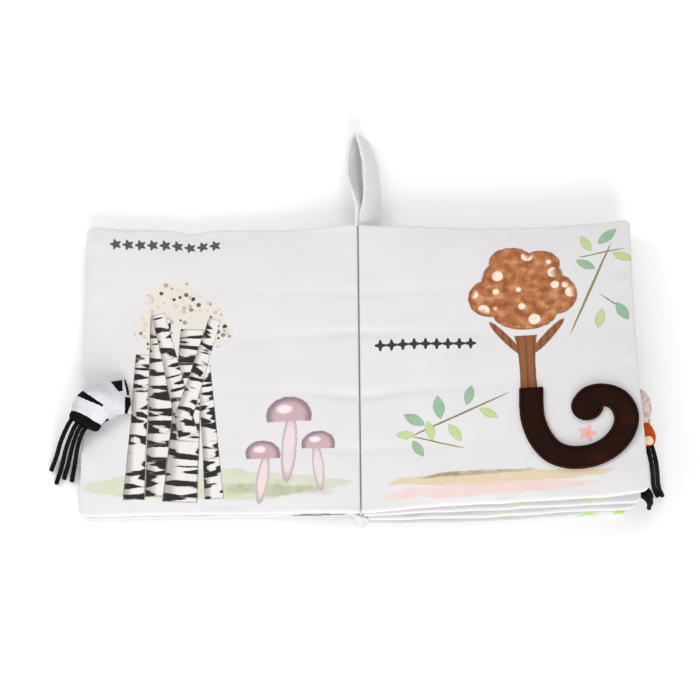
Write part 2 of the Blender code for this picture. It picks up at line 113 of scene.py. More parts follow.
def leaf_point(number, u, v, height):
    """World place of a point of a leaf, at a height over its middle."""
    side = 1 if number > LEFT_LEAVES else -1
    return Vector((side * (LEAF_START + u), v - PAGE_HEIGHT / 2, middle(number, u, v) + height))


def bell(distance, width):
    return math.exp(-(distance / width) ** 2)


def page_outline(number, u, v):
    """Where a point of the square cut lies once the seams draw the sides in and the corners are turned."""
    corner = CORNER_RADIUS
    far = (u - PAGE_WIDTH + corner) / corner
    near = (corner - v) / corner if v < PAGE_HEIGHT / 2 else (v - PAGE_HEIGHT + corner) / corner
    if far > 0 and near > 0:
        u = PAGE_WIDTH - corner + corner * far * math.sqrt(1 - near * near / 2)
        turned = corner * near * math.sqrt(1 - far * far / 2)
        v = corner - turned if v < PAGE_HEIGHT / 2 else PAGE_HEIGHT - corner + turned
    across, along = u / PAGE_WIDTH, v / PAGE_HEIGHT
    head_draw, side_draw = (0.0060, 0.0018) if number > LEFT_LEAVES else (0.0016, 0.0006)
    x = u - side_draw * 4 * along * (1 - along) * across
    y = v + 4 * across * (1 - across) * (0.0012 * (1 - along) - head_draw * along)
    wave = 0.0005 * noise.noise(Vector((u / 0.016, v / 0.016, 3.7 * number)))
    y += wave * (2 * along - 1) * rise(across * 8)
    if number == 2:
        y -= along ** 6 * (0.0016 * bell(u - 0.036, 0.024) + 0.0026 * bell(u - 0.110, 0.0085)
                           - 0.0012 * bell(u - 0.174, 0.022) - 0.0006 * bell(u, 0.010))
    y -= SLUMP.get(number, 0.0) * (1 - ease((u - 0.068) / 0.095)) * (0.72 + 0.28 * ease(u / 0.03))
    skew = SKEW.get(number, 0.0) * max(0.0, 1 - along) ** 1.6
    x -= skew * across ** 2
    y += 0.32 * skew * max(0.0, (u - 0.105) / 0.075) ** 2
    if number == 3:
        y += 0.0030 * (1 - along) ** 3 * max(0.0, (u - 0.146) / 0.034) ** 2
    if number in (2, 3):
        x -= EDGE_OVER_RIDGE * (1 - ease(u / 0.004))
    return x + wave * across, y


def folds(number, side, u, v):
    """The soft relief of a panel: shallow lumps, gathers beside the seams and creases out of the spine."""
    seed = 7.3 * number + 2.1 * side
    free = PAGE_WIDTH - u
    lumps = 0.0006 * noise.noise(Vector((u / 0.040, v / 0.030, seed)))
    gathers = 0
    for distance, along in ((v, u), (PAGE_HEIGHT - v, u), (free, v)):
        close = math.exp(-((distance - 0.007) / 0.0055) ** 2)
        gathers += 0.0008 * close * noise.noise(Vector((along / 0.0105, distance / 0.03, seed + 5)))
    creases = 0
    for place, slope, share in CREASES:
        across = (v - place - slope * u + 0.004 * side) / CREASE_HALF
        creases -= CREASE_DEPTH * share * math.exp(-across * across) * math.exp(-u / CREASE_LENGTH)
    seam = min(1.0, min(u + 0.002, free, v, PAGE_HEIGHT - v) / 0.004)
    relief = (lumps + gathers + creases) * seam
    # Only the two open pages swell outwards, and not near the spine, where they meet as the book closes
    raised = ease((u - 0.028) / 0.022) if number in (2, 3) and side > 0 else 0.0
    return min(0.0, relief) + raised * max(0.0, relief)


def stations(length):
    """Distances along one way of a panel, close together where its edges roll."""
    rolled = [0, 0.00012, 0.00035, 0.0007, 0.0011, 0.0016, 0.0022, 0.0030, 0.0042, 0.0058, 0.0078]
    count = round((length - 2 * rolled[-1]) / 0.0023)
    step = (length - 2 * rolled[-1]) / count
    even = [rolled[-1] + k * step for k in range(count + 1)]
    return rolled[:-1] + even + [length - distance for distance in rolled[-2::-1]]


def new_piece(name, points, faces, materials, spread=None, slots=None):
    """A smooth mesh from world points. spread gives each point's place in the cloth's own UV map."""
    mesh = bpy.data.meshes.new(name)
    mesh.from_pydata([tuple(point) for point in points], [], faces)
    for material in materials:
        mesh.materials.append(material)
    if slots:
        mesh.polygons.foreach_set("material_index", slots)
    if spread:
        layer = mesh.uv_layers.new(name="cut")
        for loop in mesh.loops:
            layer.data[loop.index].uv = spread[loop.vertex_index]
    mesh.shade_smooth()
    mesh.update()
    piece = bpy.data.objects.new(name, mesh)
    bpy.context.scene.collection.objects.link(piece)
    return piece


def rolled(distance, radius=0.0021):
    """Share of the full height at a distance from a seam, as the cloth rolls over to it."""
    back = 1 - min(1.0, distance / radius)
    return math.sqrt(max(0.0, 1 - back * back))


def leaf_skin(number, printed, plain):
    """A closed skin of an upper and a lower panel, with the seam as a groove between them."""
    columns, rows = stations(PAGE_WIDTH), stations(PAGE_HEIGHT)
    wide, deep = len(columns), len(rows)
    points, spread, faces, slots = [], [], [], []
    for side in (1, -1):
        for u in columns:
            for v in rows:
                x, y = page_outline(number, u, v)
                edge = rolled(u) * rolled(PAGE_WIDTH - u) * rolled(v) * rolled(PAGE_HEIGHT - v)
                height = (crown(u, v) - 0.00006 + folds(number, side, u, v)) * edge + CLOTH
                point = leaf_point(number, x, y, side * height)
                point.z = max(point.z, 0.0)
                points.append(point)
                spread.append((u / PAGE_HEIGHT, v / PAGE_HEIGHT))
    under = wide * deep
    for i in range(wide - 1):
        for j in range(deep - 1):
            a, b, c, d = i * deep + j, (i + 1) * deep + j, (i + 1) * deep + j + 1, i * deep + j + 1
            faces.append((a, b, c, d) if number > LEFT_LEAVES else (d, c, b, a))
            slots.append(0)
            low = (under + d, under + c, under + b, under + a)
            faces.append(low if number > LEFT_LEAVES else low[::-1])
            slots.append(1)
    rim = [i * deep for i in range(wide)] + [(wide - 1) * deep + j for j in range(1, deep)]
    rim += [i * deep + deep - 1 for i in range(wide - 2, -1, -1)] + list(range(deep - 2, 0, -1))
    groove = len(points)
    for index in rim:
        u, v = spread[index][0] * PAGE_HEIGHT, spread[index][1] * PAGE_HEIGHT
        x, y = page_outline(number, min(max(u, SEAM_INSET), PAGE_WIDTH - SEAM_INSET),
                            min(max(v, SEAM_INSET), PAGE_HEIGHT - SEAM_INSET))
        points.append(leaf_point(number, x, y, 0.0))
        spread.append((u / PAGE_HEIGHT, v / PAGE_HEIGHT))
    for k, here in enumerate(rim):
        there, n = rim[(k + 1) % len(rim)], (k + 1) % len(rim)
        upper = (here, groove + k, groove + n, there)
        lower = (groove + k, under + here, under + there, groove + n)
        for face in (upper, lower):
            faces.append(face if number > LEFT_LEAVES else face[::-1])
            slots.append(1)
    return new_piece(f"leaf_{number}_cloth", points, faces, (printed, plain), spread, slots)


# The page cloth is a soft printed polyester: white with a faint grey cast and a fine plain weave.
class Wire:
    """A socket in a material. Sums on it add Math nodes, and node() adds any other node."""

    def __init__(self, socket):
        self.socket = socket

    def node(self, kind, settings, values, output=0):
        tree = self.socket.id_data
        made = tree.nodes.new(kind)
        for key, setting in settings.items():
            if key == "stops":
                while len(made.color_ramp.elements) < len(setting):
                    made.color_ramp.elements.new(1.0)
                for stop, (place, colour) in zip(made.color_ramp.elements, setting):
                    stop.position, stop.color = place, colour
            else:
                setattr(made, key, setting)
        for key, value in values.items():
            if isinstance(value, Wire):
                tree.links.new(value.socket, made.inputs[key])
            else:
                made.inputs[key].default_value = value
        return Wire(made.outputs[output])

    def sums(self, operation, *values):
        return self.node("ShaderNodeMath", {"operation": operation}, dict(enumerate((self, *values))))

    def __add__(self, other):
        return self.sums("ADD", other)

    def __sub__(self, other):
        return self.sums("SUBTRACT", other)

    def __rsub__(self, other):
        return self.node("ShaderNodeMath", {"operation": "SUBTRACT"}, {0: other, 1: self})

    def __mul__(self, other):
        return self.sums("MULTIPLY", other)

    def __truediv__(self, other):
        return self.sums("DIVIDE", other)

    __radd__, __rmul__ = __add__, __mul__

    def __abs__(self):
        return self.sums("ABSOLUTE")

    def most(self, other):
        return self.sums("MAXIMUM", other)

    def least(self, other):
        return self.sums("MINIMUM", other)

    def step(self, low, high):
        """0 at low and 1 at high, with a soft ramp between."""
        soft = {"interpolation_type": "SMOOTHSTEP"}
        return self.node("ShaderNodeMapRange", soft, {0: self, 1: low, 2: high})

    def between(self, low, high):
        """The first colour where this is 0, the second where it is 1, and their mixes between."""
        return self.node("ShaderNodeMix", {"data_type": "RGBA"}, {0: self, 6: low, 7: high}, 2)

    def over(self, colour, mask):
        """This colour, painted over with another where the mask is 1."""
        return mask.between(self, colour)

    def grain(self, scale, detail=2.0, output=0):
        """Noise at this place: 0 is its number and 1 its colour."""
        values = {"Vector": self, "Scale": scale, "Detail": detail}
        return self.node("ShaderNodeTexNoise", {"noise_dimensions": "3D"}, values, output)

    def parts(self):
        return [self.node("ShaderNodeSeparateXYZ", {}, {0: self}, k) for k in range(3)]

    def local(self, centre, turn, size):
        """This place measured from a centre, along and across a turned shape of that half size."""
        values = {0: self, 1: (*centre, 0.0), 2: (0.0, 0.0, math.radians(turn)), 3: (*size, 1.0)}
        return self.node("ShaderNodeMapping", {"vector_type": "TEXTURE"}, values)

    def vector(self, operation, values, output=0):
        return self.node("ShaderNodeVectorMath", {"operation": operation}, {0: self, **values}, output)

    def length(self):
        return self.vector("LENGTH", {}, 1)

    def scaled(self, size):
        return self.vector("SCALE", {3: size})


def paint(red, green, blue):
    """A colour as a paint chart gives it, in light values."""
    return tuple(((value / 255 + 0.055) / 1.055) ** 2.4 for value in (red, green, blue)) + (1.0,)


def finish_of(name, roughness, sheen=0.0, shine=0.2):
    """A new material: itself, its shader, and the object place to start its patterns from."""
    material = bpy.data.materials.new(name)
    material.use_nodes = True
    shader = material.node_tree.nodes["Principled BSDF"]
    shader.inputs["Roughness"].default_value = roughness
    shader.inputs["Specular IOR Level"].default_value = shine
    shader.inputs["Sheen Weight"].default_value = sheen
    shader.inputs["Sheen Roughness"].default_value = 0.5
    place = material.node_tree.nodes.new("ShaderNodeTexCoord")
    return material, shader, Wire(place.outputs["Object"])


def cut_place(place):
    """The cloth's own UV map in millimetres."""
    return place.node("ShaderNodeUVMap", {"uv_map": "cut"}, {}).scaled(PAGE_HEIGHT * 1000)


def join(material, shader, colour, height=None, depth=0.0002, strength=0.5):
    """Feeds a finished colour and relief to the shader."""
    material.node_tree.links.new(colour.socket, shader.inputs["Base Color"])
    if height:
        values = {"Height": height, "Distance": depth, "Strength": strength}
        bump = height.node("ShaderNodeBump", {}, values)
        material.node_tree.links.new(bump.socket, shader.inputs["Normal"])


def weave_of(x, y, pitch):
    """Height of a plain weave whose threads lie one pitch apart."""
    turn = 2 * math.pi / pitch
    return (x * turn).sums("SINE") * (y * turn).sums("SINE") * 0.5 + 0.5


def page_cloth(name, art=None):
    material, shader, place = finish_of(name, 0.86, 0.08, 0.1)
    page = cut_place(place)
    x, y, _ = page.parts()
    colour = page.grain(0.035, 3.0).between(paint(215, 213, 214), paint(222, 220, 221))
    if art:
        colour = art(colour, page)
    relief = weave_of(x, y, 0.62) * 0.6 + page.grain(2.2, 2.0) * 0.4
    join(material, shader, colour, relief, 0.00009, 0.5)
    return material


plain_cloth = page_cloth("page_cloth_plain")


# The print on the left page: a clump of birches with black bands, a bush, three mauve toadstools on a
# sage wash and a row of small grey stars at the head. x is from the spine and y from the foot, in mm.
def painted_edge(page, wobble=1.5, scale=0.28):
    """The page's place, nudged about a little, so that painted edges aren't ruled."""
    centred = page.grain(scale, 3.0, 1).vector("SUBTRACT", {1: (0.5, 0.5, 0.5)})
    return page.vector("ADD", {1: centred.vector("MULTIPLY", {1: (wobble, wobble, 0.0)})})


def disc(page, centre, size, turn=0.0):
    """1 in the middle of an ellipse, 0 on its outline and less outside it."""
    return 1 - page.local(centre, turn, size).length()


def blade(page, centre, size, turn):
    """A leaf with pointed ends: 1 in the middle, 0 on its outline."""
    x, y, _ = page.local(centre, turn, size).parts()
    return 1 - x * x - abs(y)


def any_of(shapes):
    """One shape out of several."""
    union = None
    for shape in shapes:
        union = union.most(shape) if union else shape
    return union


def star_row(page, start, pitch, count, level, radius, points, depth):
    """A row of like stars or small flowers."""
    x, y, _ = page.parts()
    across = (x - start) / pitch
    inside = across.step(-0.01, 0.01) * (1 - across.step(count - 0.01, count + 0.01))
    local_x = (across.sums("FRACT") - 0.5) * pitch
    local_y = y - level
    angle = local_y.sums("ARCTAN2", local_x)
    reach = (local_x * local_x + local_y * local_y).sums("SQRT")
    shape = reach * (1 - (angle * float(points)).sums("COSINE") * depth) / radius
    return (1 - shape).step(-0.08, 0.08) * inside


def left_print(colour, page):
    y = page.parts()[1]
    soft = painted_edge(page)
    fine = painted_edge(page, 0.9, 0.9)
    loose = painted_edge(page, 9.0, 0.045)
    mottle = page.grain(0.11, 4.0)
    washes = (((97.0, 19.0), (82.0, 9.5), 0.0), ((120.0, 23.0), (54.0, 7.0), -3.0),
              ((34.0, 18.5), (30.0, 3.6), -2.0))
    meadow = any_of(disc(loose, *wash) for wash in washes)
    colour = colour.over(paint(202, 206, 178), meadow.step(-0.02, 0.07) * (0.50 + mottle * 0.55))
    colour = colour.over(paint(186, 190, 154), meadow.step(0.0, 0.5) * mottle.step(0.52, 0.62) * 0.45)
    shade = disc(loose, (54.0, 16.0), (42.0, 4.4), 3.0)
    colour = colour.over(paint(158, 162, 126), shade.step(0.0, 0.45) * mottle)
    lobes = (((121.0, 147.0), (19.0, 16.0)), ((104.0, 138.0), (15.0, 13.0)),
             ((134.0, 128.0), (14.0, 15.0)), ((92.0, 124.0), (10.0, 9.0)))
    bush = any_of(disc(soft, *lobe) for lobe in lobes)
    cells = {"feature": "F1", "distance": "EUCLIDEAN"}
    spread = {"Vector": fine, "Scale": 0.24, "Randomness": 1.0}
    sprays, tint = (page.node("ShaderNodeTexVoronoi", cells, spread, k) for k in (0, 1))
    tone = tint.parts()[0]
    leaf_tone = tone.node("ShaderNodeValToRGB", {"stops": (
        (0.0, paint(62, 58, 56)), (0.22, paint(120, 110, 101)), (0.45, paint(190, 178, 164)),
        (0.75, paint(216, 204, 188)))}, {0: tone})
    colour = colour.over(paint(222, 214, 204), bush.step(-0.02, 0.12) * 0.8)
    colour = colour.over(leaf_tone, (0.42 - sprays).step(0.0, 0.10) * bush.step(-0.05, 0.10))
    trunks = (
        ((143.0, 60.0), (4.6, 50.0), 2.0), ((129.0, 74.0), (6.6, 62.0), -1.0),
        ((112.0, 68.0), (7.6, 60.0), 3.0), ((97.0, 56.0), (4.2, 46.0), -5.0),
        ((121.0, 96.0), (4.4, 44.0), -14.0), ((104.0, 100.0), (4.0, 36.0), 16.0),
    )
    for centre, size, turn in trunks:
        across, along, _ = fine.local(centre, turn, size).parts()
        bar = (1 - abs(across) * (0.82 + along * 0.16)).least((1 - abs(along)) * 8)
        inside = bar.step(-0.02, 0.06)
        colour = colour.over(paint(226, 223, 219), inside)
        colour = colour.over(paint(168, 158, 150), inside * across.step(0.15, 1.0) * 0.85)
        for side, seed in ((1.0, 3.0), (-1.0, 11.0)):
            level = along.node("ShaderNodeCombineXYZ", {}, {
                0: across * 0.16 * side, 1: along * (size[1] * 0.13), 2: seed + turn})
            band = level.grain(1.55, 0.9) - 0.535 - (1 - across * side) * 0.06
            colour = colour.over(paint(150, 138, 128), inside * band.step(-0.035, 0.0) * 0.55)
            colour = colour.over(paint(46, 43, 44), inside * band.step(0.0, 0.016))
        colour = colour.over(paint(92, 88, 86), inside * (1 - bar.step(0.0, 0.16)) * 0.9)
    caps = (((45.0, 66.0), (15.0, 13.0), 4.0), ((26.0, 46.0), (11.0, 9.0), -6.0),
            ((62.0, 40.0), (11.5, 9.5), 8.0))
    for (cx, cy), (wide, tall), turn in caps:
        stem = disc(soft, (cx, cy - tall * 1.7), (wide * 0.34, tall * 1.9), turn)
        colour = colour.over(paint(224, 209, 208), stem.step(-0.02, 0.10))
        colour = colour.over(paint(168, 148, 155), stem.step(-0.02, 0.10) * (1 - stem.step(0.05, 0.45)) * 0.8)
        round_cap = disc(soft, (cx, cy), (wide, tall), turn)
        mask = round_cap.least((y - (cy - tall * 0.32)) / tall).step(-0.03, 0.06)
        shine = disc(soft, (cx + wide * 0.2, cy + tall * 0.35), (wide * 0.45, tall * 0.30))
        colour = colour.over(paint(190, 166, 173), mask)
        colour = colour.over(paint(206, 164, 164), mask * mottle.step(0.42, 0.62) * 0.6)
        colour = colour.over(paint(128, 108, 120), mask * (1 - round_cap.step(0.05, 0.42)) * 0.85)
        colour = colour.over(paint(235, 221, 222), mask * shine.step(0.0, 0.5))
    stars = star_row(page, 90.0, 8.3, 9, 188.0, 2.9, 5, 0.28)
    return colour.over(paint(86, 84, 86), stars)


# The print on the right page: a russet tree whose foot the felt tail carries on, leafy twigs, a wash of
# sand and rose at the foot, a flower inside the curl, and a row of small dark flowers.
def right_print(colour, page):
    soft = painted_edge(page)
    fine = painted_edge(page, 0.8, 1.0)
    loose = painted_edge(page, 8.0, 0.05)
    mottle = page.grain(0.12, 4.0)
    rose = disc(loose, (80.0, 10.0), (74.0, 4.6), 0.0)
    colour = colour.over(paint(229, 196, 188), rose.step(-0.02, 0.20) * (0.30 + mottle * 0.75))
    sand = disc(loose, (88.0, 17.8), (73.0, 4.2), 0.0)
    colour = colour.over(paint(215, 196, 160), sand.step(-0.02, 0.08) * (0.50 + mottle * 0.7))
    shade = disc(loose, (72.0, 20.8), (42.0, 2.0), 1.0)
    colour = colour.over(paint(150, 140, 104), shade.step(0.0, 0.35) * mottle * 1.4)
    twigs = (
        ((62.0, 62.0), (40.0, 0.75), 24.0), ((48.0, 44.0), (20.0, 0.55), -16.0),
        ((152.0, 150.0), (38.0, 0.9), 66.0), ((160.0, 176.0), (17.0, 0.55), 8.0),
        ((166.0, 138.0), (12.0, 0.5), -40.0),
    )
    stems = any_of(disc(fine, *twig) for twig in twigs)
    colour = colour.over(paint(128, 128, 74), stems.step(0.0, 0.10) * 0.95)
    greens = {
        (146, 180, 148): (((34.0, 60.0), (8.0, 3.6), -32.0), ((50.0, 68.0), (8.5, 3.8), 96.0),
                          ((70.0, 76.0), (7.5, 3.3), 74.0), ((36.0, 40.0), (7.0, 3.0), -60.0),
                          ((164.0, 188.0), (8.5, 3.7), 40.0), ((149.0, 168.0), (7.5, 3.3), 150.0),
                          ((172.0, 131.0), (8.0, 3.6), -62.0)),
        (186, 205, 142): (((44.0, 52.0), (7.0, 3.1), -78.0), ((60.0, 50.0), (7.5, 3.2), -58.0),
                          ((82.0, 63.0), (7.0, 3.0), -30.0), ((28.0, 50.0), (6.5, 2.8), 174.0),
                          ((174.0, 172.0), (7.5, 3.2), -24.0), ((157.0, 127.0), (7.5, 3.3), -104.0),
                          ((150.0, 184.0), (7.0, 3.0), 118.0)),
    }
    for green, blades in greens.items():
        leaves = any_of(blade(fine, *one) for one in blades)
        mask = leaves.step(-0.02, 0.08)
        colour = colour.over(paint(*green), mask * (0.72 + mottle * 0.5))
        colour = colour.over(paint(86, 126, 98), mask * (1 - leaves.step(0.0, 0.22)) * 0.65)
    trunk_x, trunk_y, _ = fine.local((108.5, 92.0), 1.0, (7.0, 26.0)).parts()
    trunk = (1 - abs(trunk_x) * (1.28 - trunk_y * trunk_y * 0.40)).least((1 - abs(trunk_y)) * 6)
    for centre, size, turn in (((122.0, 116.0), (3.0, 18.0), -42.0), ((95.0, 116.0), (2.8, 17.0), 40.0)):
        trunk = trunk.most(disc(fine, centre, size, turn))
    colour = colour.over(paint(142, 92, 62), trunk.step(-0.02, 0.10))
    grooves = (trunk_x * 9.0 + mottle * 4.0).sums("SINE").step(0.3, 0.9)
    colour = colour.over(paint(98, 58, 38), trunk.step(0.0, 0.2) * grooves * 0.55)
    lobes = (((107.0, 158.0), (27.0, 22.0)), ((86.0, 146.0), (15.0, 14.0)), ((128.0, 147.0), (15.0, 15.0)),
             ((108.0, 134.0), (21.0, 12.0)), ((100.0, 172.0), (15.0, 12.0)), ((119.0, 170.0), (13.0, 11.0)))
    foliage = any_of(disc(soft, *lobe) for lobe in lobes)
    inside = foliage.step(-0.03, 0.05)
    colour = colour.over(paint(176, 112, 72), inside)
    depths = page.grain(0.16, 4.0)
    colour = colour.over(paint(132, 76, 44), inside * depths.step(0.46, 0.68) * 0.75)
    colour = colour.over(paint(206, 148, 106), inside * (1 - depths.step(0.34, 0.48)) * 0.8)
    cells = {"feature": "F1", "distance": "EUCLIDEAN"}
    blossoms = page.node("ShaderNodeTexVoronoi", cells, {"Vector": fine, "Scale": 0.082, "Randomness": 0.75})
    heart = foliage.step(0.10, 0.34)
    colour = colour.over(paint(243, 222, 200), (0.36 - blossoms).step(0.0, 0.05) * heart)
    colour = colour.over(paint(214, 164, 136), (0.13 - blossoms).step(0.0, 0.05) * heart)
    colour = colour.over(paint(110, 62, 36), inside * (1 - foliage.step(0.0, 0.12)) * 0.65)
    petals = star_row(page, 137.0, 14.0, 1, 44.5, 4.6, 5, 0.24)
    colour = colour.over(paint(232, 178, 176), petals)
    colour = colour.over(paint(226, 168, 92), disc(page, (144.0, 44.5), (1.4, 1.4)).step(0.0, 0.3))
    small = star_row(page, 9.0, 7.4, 9, 113.5, 2.7, 4, 0.34)
    return colour.over(paint(58, 56, 56), small)


left_page_cloth = page_cloth("page_cloth_birches", left_print)
right_page_cloth = page_cloth("page_cloth_russet_tree", right_print)


# The hidden leaves are printed too. Only the ends of their lime washes show on the rolled foot edges of the
# lower leaves, and the cover has a thin grey green line along its foot edge.
def foot_print(green, slivers):
    def painted(colour, page):
        soft = painted_edge(page, 2.0, 0.2)
        wash = any_of(disc(soft, *sliver) for sliver in slivers)
        return colour.over(paint(*green), wash.step(0.0, 0.25))
    return painted


hidden_prints = {
    1: ((112, 118, 100), (((26.0, 0.2), (21.0, 0.55)), ((52.0, 16.0), (30.0, 9.0)))),
    4: ((212, 229, 178), (((150.0, 2.8), (11.0, 1.0)), ((97.0, 2.2), (5.0, 0.9)),
                          ((70.0, 24.0), (48.0, 7.0)))),
    5: ((212, 227, 188), (((60.0, 20.0), (44.0, 7.0)), ((88.0, 0.8), (7.0, 0.9)))),
    6: ((172, 214, 110), (((151.0, 0.0), (9.5, 1.5)), ((174.0, 0.0), (5.0, 3.0)),
                          ((90.0, 24.0), (60.0, 7.0)))),
}
uppers = {number: page_cloth(f"page_cloth_{number}_hidden", foot_print(*washes))
          for number, washes in hidden_prints.items()}
uppers.update({2: left_page_cloth, 3: right_page_cloth})
for number in range(1, LAST_LEAF + 1):
    cloth = leaf_skin(number, uppers[number], plain_cloth)
    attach(cloth, "spine" if number == LAST_LEAF else f"leaf_{number}")
    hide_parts(f"leaf_{number}_upper_panel", f"leaf_{number}_lower_panel")


# Inside each leaf lie a sheet of crinkle film and a sheet of wadding. They keep their solids' shape.
film, film_shader, film_place = finish_of("crinkle_film", 0.32)
film_tone = film_place.grain(90.0).between(paint(222, 228, 234), paint(240, 243, 246))
join(film, film_shader, film_tone, film_place.grain(220.0, 4.0), 0.0004, 0.8)
wadding, wadding_shader, wadding_place = finish_of("wadding", 0.97)
wadding_tone = wadding_place.grain(160.0, 4.0).between(paint(233, 232, 228), paint(250, 249, 246))
join(wadding, wadding_shader, wadding_tone, wadding_place.grain(600.0, 3.0), 0.0006, 0.6)
for number in range(1, LAST_LEAF + 1):
    for layer, material in (("crinkle_film", film), ("padding", wadding)):
        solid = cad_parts[f"leaf_{number}_{layer}"]
        solid.data.materials.clear()
        solid.data.materials.append(material)


# The spine. The seam allowances of all the leaves are sewn together into a low ridge under the gutter,
# and a strip of cover cloth goes round it, from under the spine up its left side.
def ring_faces(rings, count, turned=False):
    """Faces between rings that have a count of points each, and the two end faces."""
    faces = []
    for row in range(rings - 1):
        for k in range(count):
            a, b = row * count + k, row * count + (k + 1) % count
            faces.append((a, b, b + count, a + count) if turned else (a, a + count, b + count, b))
    first, last = tuple(range(count)), tuple((rings - 1) * count + k for k in range(count))
    return faces + ([first[::-1], last] if turned else [first, last[::-1]])


def swept_strip(name, outline, material):
    """A strip along the spine with a closed outline in X and Z, a little uneven along its length."""
    rings = 61
    points, spread = [], []
    for row in range(rings):
        y = PAGE_HEIGHT * (row / (rings - 1) - 0.5)
        for k, (x, z) in enumerate(outline):
            sway = 0.00012 * noise.noise(Vector((y / 0.010, k * 0.7, 2.0)))
            points.append(Vector((x + sway, y, max(0.0, z + sway))))
            spread.append((0.1 + k * 0.004, 0.5 + y / PAGE_HEIGHT))
    return new_piece(name, points, ring_faces(rings, len(outline)), (material,), spread)


HINGE_Z = 0.0179
RIDGE_LOW, RIDGE_TALL, RIDGE_HALF, LAYER_SWELL = 0.0011, 0.0133, 0.00078, 0.00012
allowance = []
for side in (1, -1):
    for step in range(LAST_LEAF * 4 + 1):
        share = step / (LAST_LEAF * 4)
        height = RIDGE_LOW + RIDGE_TALL * (share if side > 0 else 1 - share)
        ridge = RIDGE_HALF + LAYER_SWELL * math.cos(2 * math.pi * LAST_LEAF * share)
        allowance.append((side * ridge, height))
allowances = swept_strip("spine_seam_allowances", allowance, plain_cloth)
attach(allowances, "spine")
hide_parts("spine_binding")

cover_path = [(0.0018, 0.0004), (0.0006, 0.0004), (-0.0006, 0.0004), (-0.00125, 0.00055), (-0.0016, 0.0011),
              (-0.0016, 0.0030), (-0.0016, 0.0055), (-0.0016, 0.0078), (-0.0016, 0.0096)]
cover_half = 0.00039
cover_outline = []
for path in (cover_path, cover_path[::-1]):
    for index, (x, z) in enumerate(path):
        before, after = path[max(0, index - 1)], path[min(len(path) - 1, index + 1)]
        along = Vector((after[0] - before[0], after[1] - before[1])).normalized()
        cover_outline.append((x + along.y * cover_half, z - along.x * cover_half))
cover_strip = swept_strip("spine_cover_strip", cover_outline, plain_cloth)
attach(cover_strip, "spine")
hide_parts("spine_cover")

# The loose edges of the cover cloth are rolled in behind the strip. At the foot the roll ends in soft
# round folds that close over the ends of the seams.
points, spread = [], []
round_points = 36
rows = [(0.0992, 0.12, 0.0), (0.0990, 0.45, 0.0), (0.0984, 0.80, 0.0), (0.0972, 0.97, 0.0)]
rows += [(0.094 - 0.0037 * step, 1.0, 0.0) for step in range(52)]
rows += [(-0.0985, 1.0, 0.0), (-0.0996, 1.0, 0.10), (-0.1003, 1.0, 0.80)]
for step in range(1, 41):
    size = 1 - 0.97 * step / 40
    fold = 0.00075 * math.cos(2 * math.pi * 3.5 * size + 0.6) * min(1.0, (1 - size) * 6) * min(1.0, size * 5)
    rows.append((-0.1003 - 0.0060 * math.sqrt(1 - size * size) + fold, size, 1.0))
for y, size, flare in rows:
    middle_x, half_x = -0.0048 + 0.0034 * flare, 0.0026 + 0.0040 * flare
    middle_z, half_z = 0.0047 + 0.0022 * flare, 0.0043 + 0.0023 * flare
    for k in range(round_points):
        turn = 2 * math.pi * k / round_points
        right, up = math.cos(turn), math.sin(turn)
        reach = size * (1 + 0.05 * noise.noise(Vector((right * 1.6, up * 1.6, y / 0.006))))
        x = middle_x + half_x * reach * math.copysign(abs(right) ** 0.8, right)
        z = middle_z + half_z * reach * math.copysign(abs(up) ** 0.8, up)
        drawn_back = 0.0058 * min(1.0, max(0.0, (0.0010 - x) / 0.0090)) ** 1.7 * ease((-0.080 - y) / 0.020)
        points.append(Vector((x, y + drawn_back, max(0.0, z))))
        spread.append((0.3 + k * 0.003, 0.5 + y / PAGE_HEIGHT))
roll_faces = ring_faces(len(rows), round_points, turned=True)
rolled_edge = new_piece("spine_cover_roll", points, roll_faces, (plain_cloth,), spread)
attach(rolled_edge, "spine")
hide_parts("spine_cover")


# The carrying loop is a strip of the cover cloth, folded and sewn into an 18 mm tape. Its two ends are
# sewn into the head of the spine, and it leans to the right as it lies.
LOOP_BASE = PAGE_HEIGHT / 2 + GAP
LOOP_LENGTH = 0.0665
LOOP_WIDTH = 0.018
LOOP_TAPE = 0.0016


def smooth(points, steps):
    """Points along a smooth curve through the given ones."""
    points = [Vector(point) for point in points]
    ends = [2 * points[0] - points[1]] + points + [2 * points[-1] - points[-2]]
    curve = []
    for a, b, c, d in zip(ends, ends[1:], ends[2:], ends[3:]):
        for step in range(steps):
            t = step / steps
            curve.append((2 * b + (c - a) * t + (2 * a - 5 * b + 4 * c - d) * t * t
                          + (3 * b - a - 3 * c + d) * t ** 3) / 2)
    curve.append(points[-1])
    return curve


tape_cloth, tape_shader, tape_place = finish_of("loop_tape", 0.88, 0.06, 0.08)
tape_cut = cut_place(tape_place)
tape_x, tape_y, _ = tape_cut.parts()
tape_colour = tape_cut.grain(0.10, 3.0).between(paint(217, 215, 215), paint(225, 223, 223))
# Light comes through the thin tape a little, so the inside of the loop isn't dark
tape_shader.inputs["Subsurface Weight"].default_value = 0.5
tape_shader.inputs["Subsurface Radius"].default_value = (1.0, 1.0, 1.0)
tape_shader.inputs["Subsurface Scale"].default_value = 0.003
tape_relief = weave_of(tape_x, tape_y, 0.7) * 0.6 + tape_cut.grain(2.0) * 0.4
join(tape_cloth, tape_shader, tape_colour, tape_relief, 0.00009, 0.5)

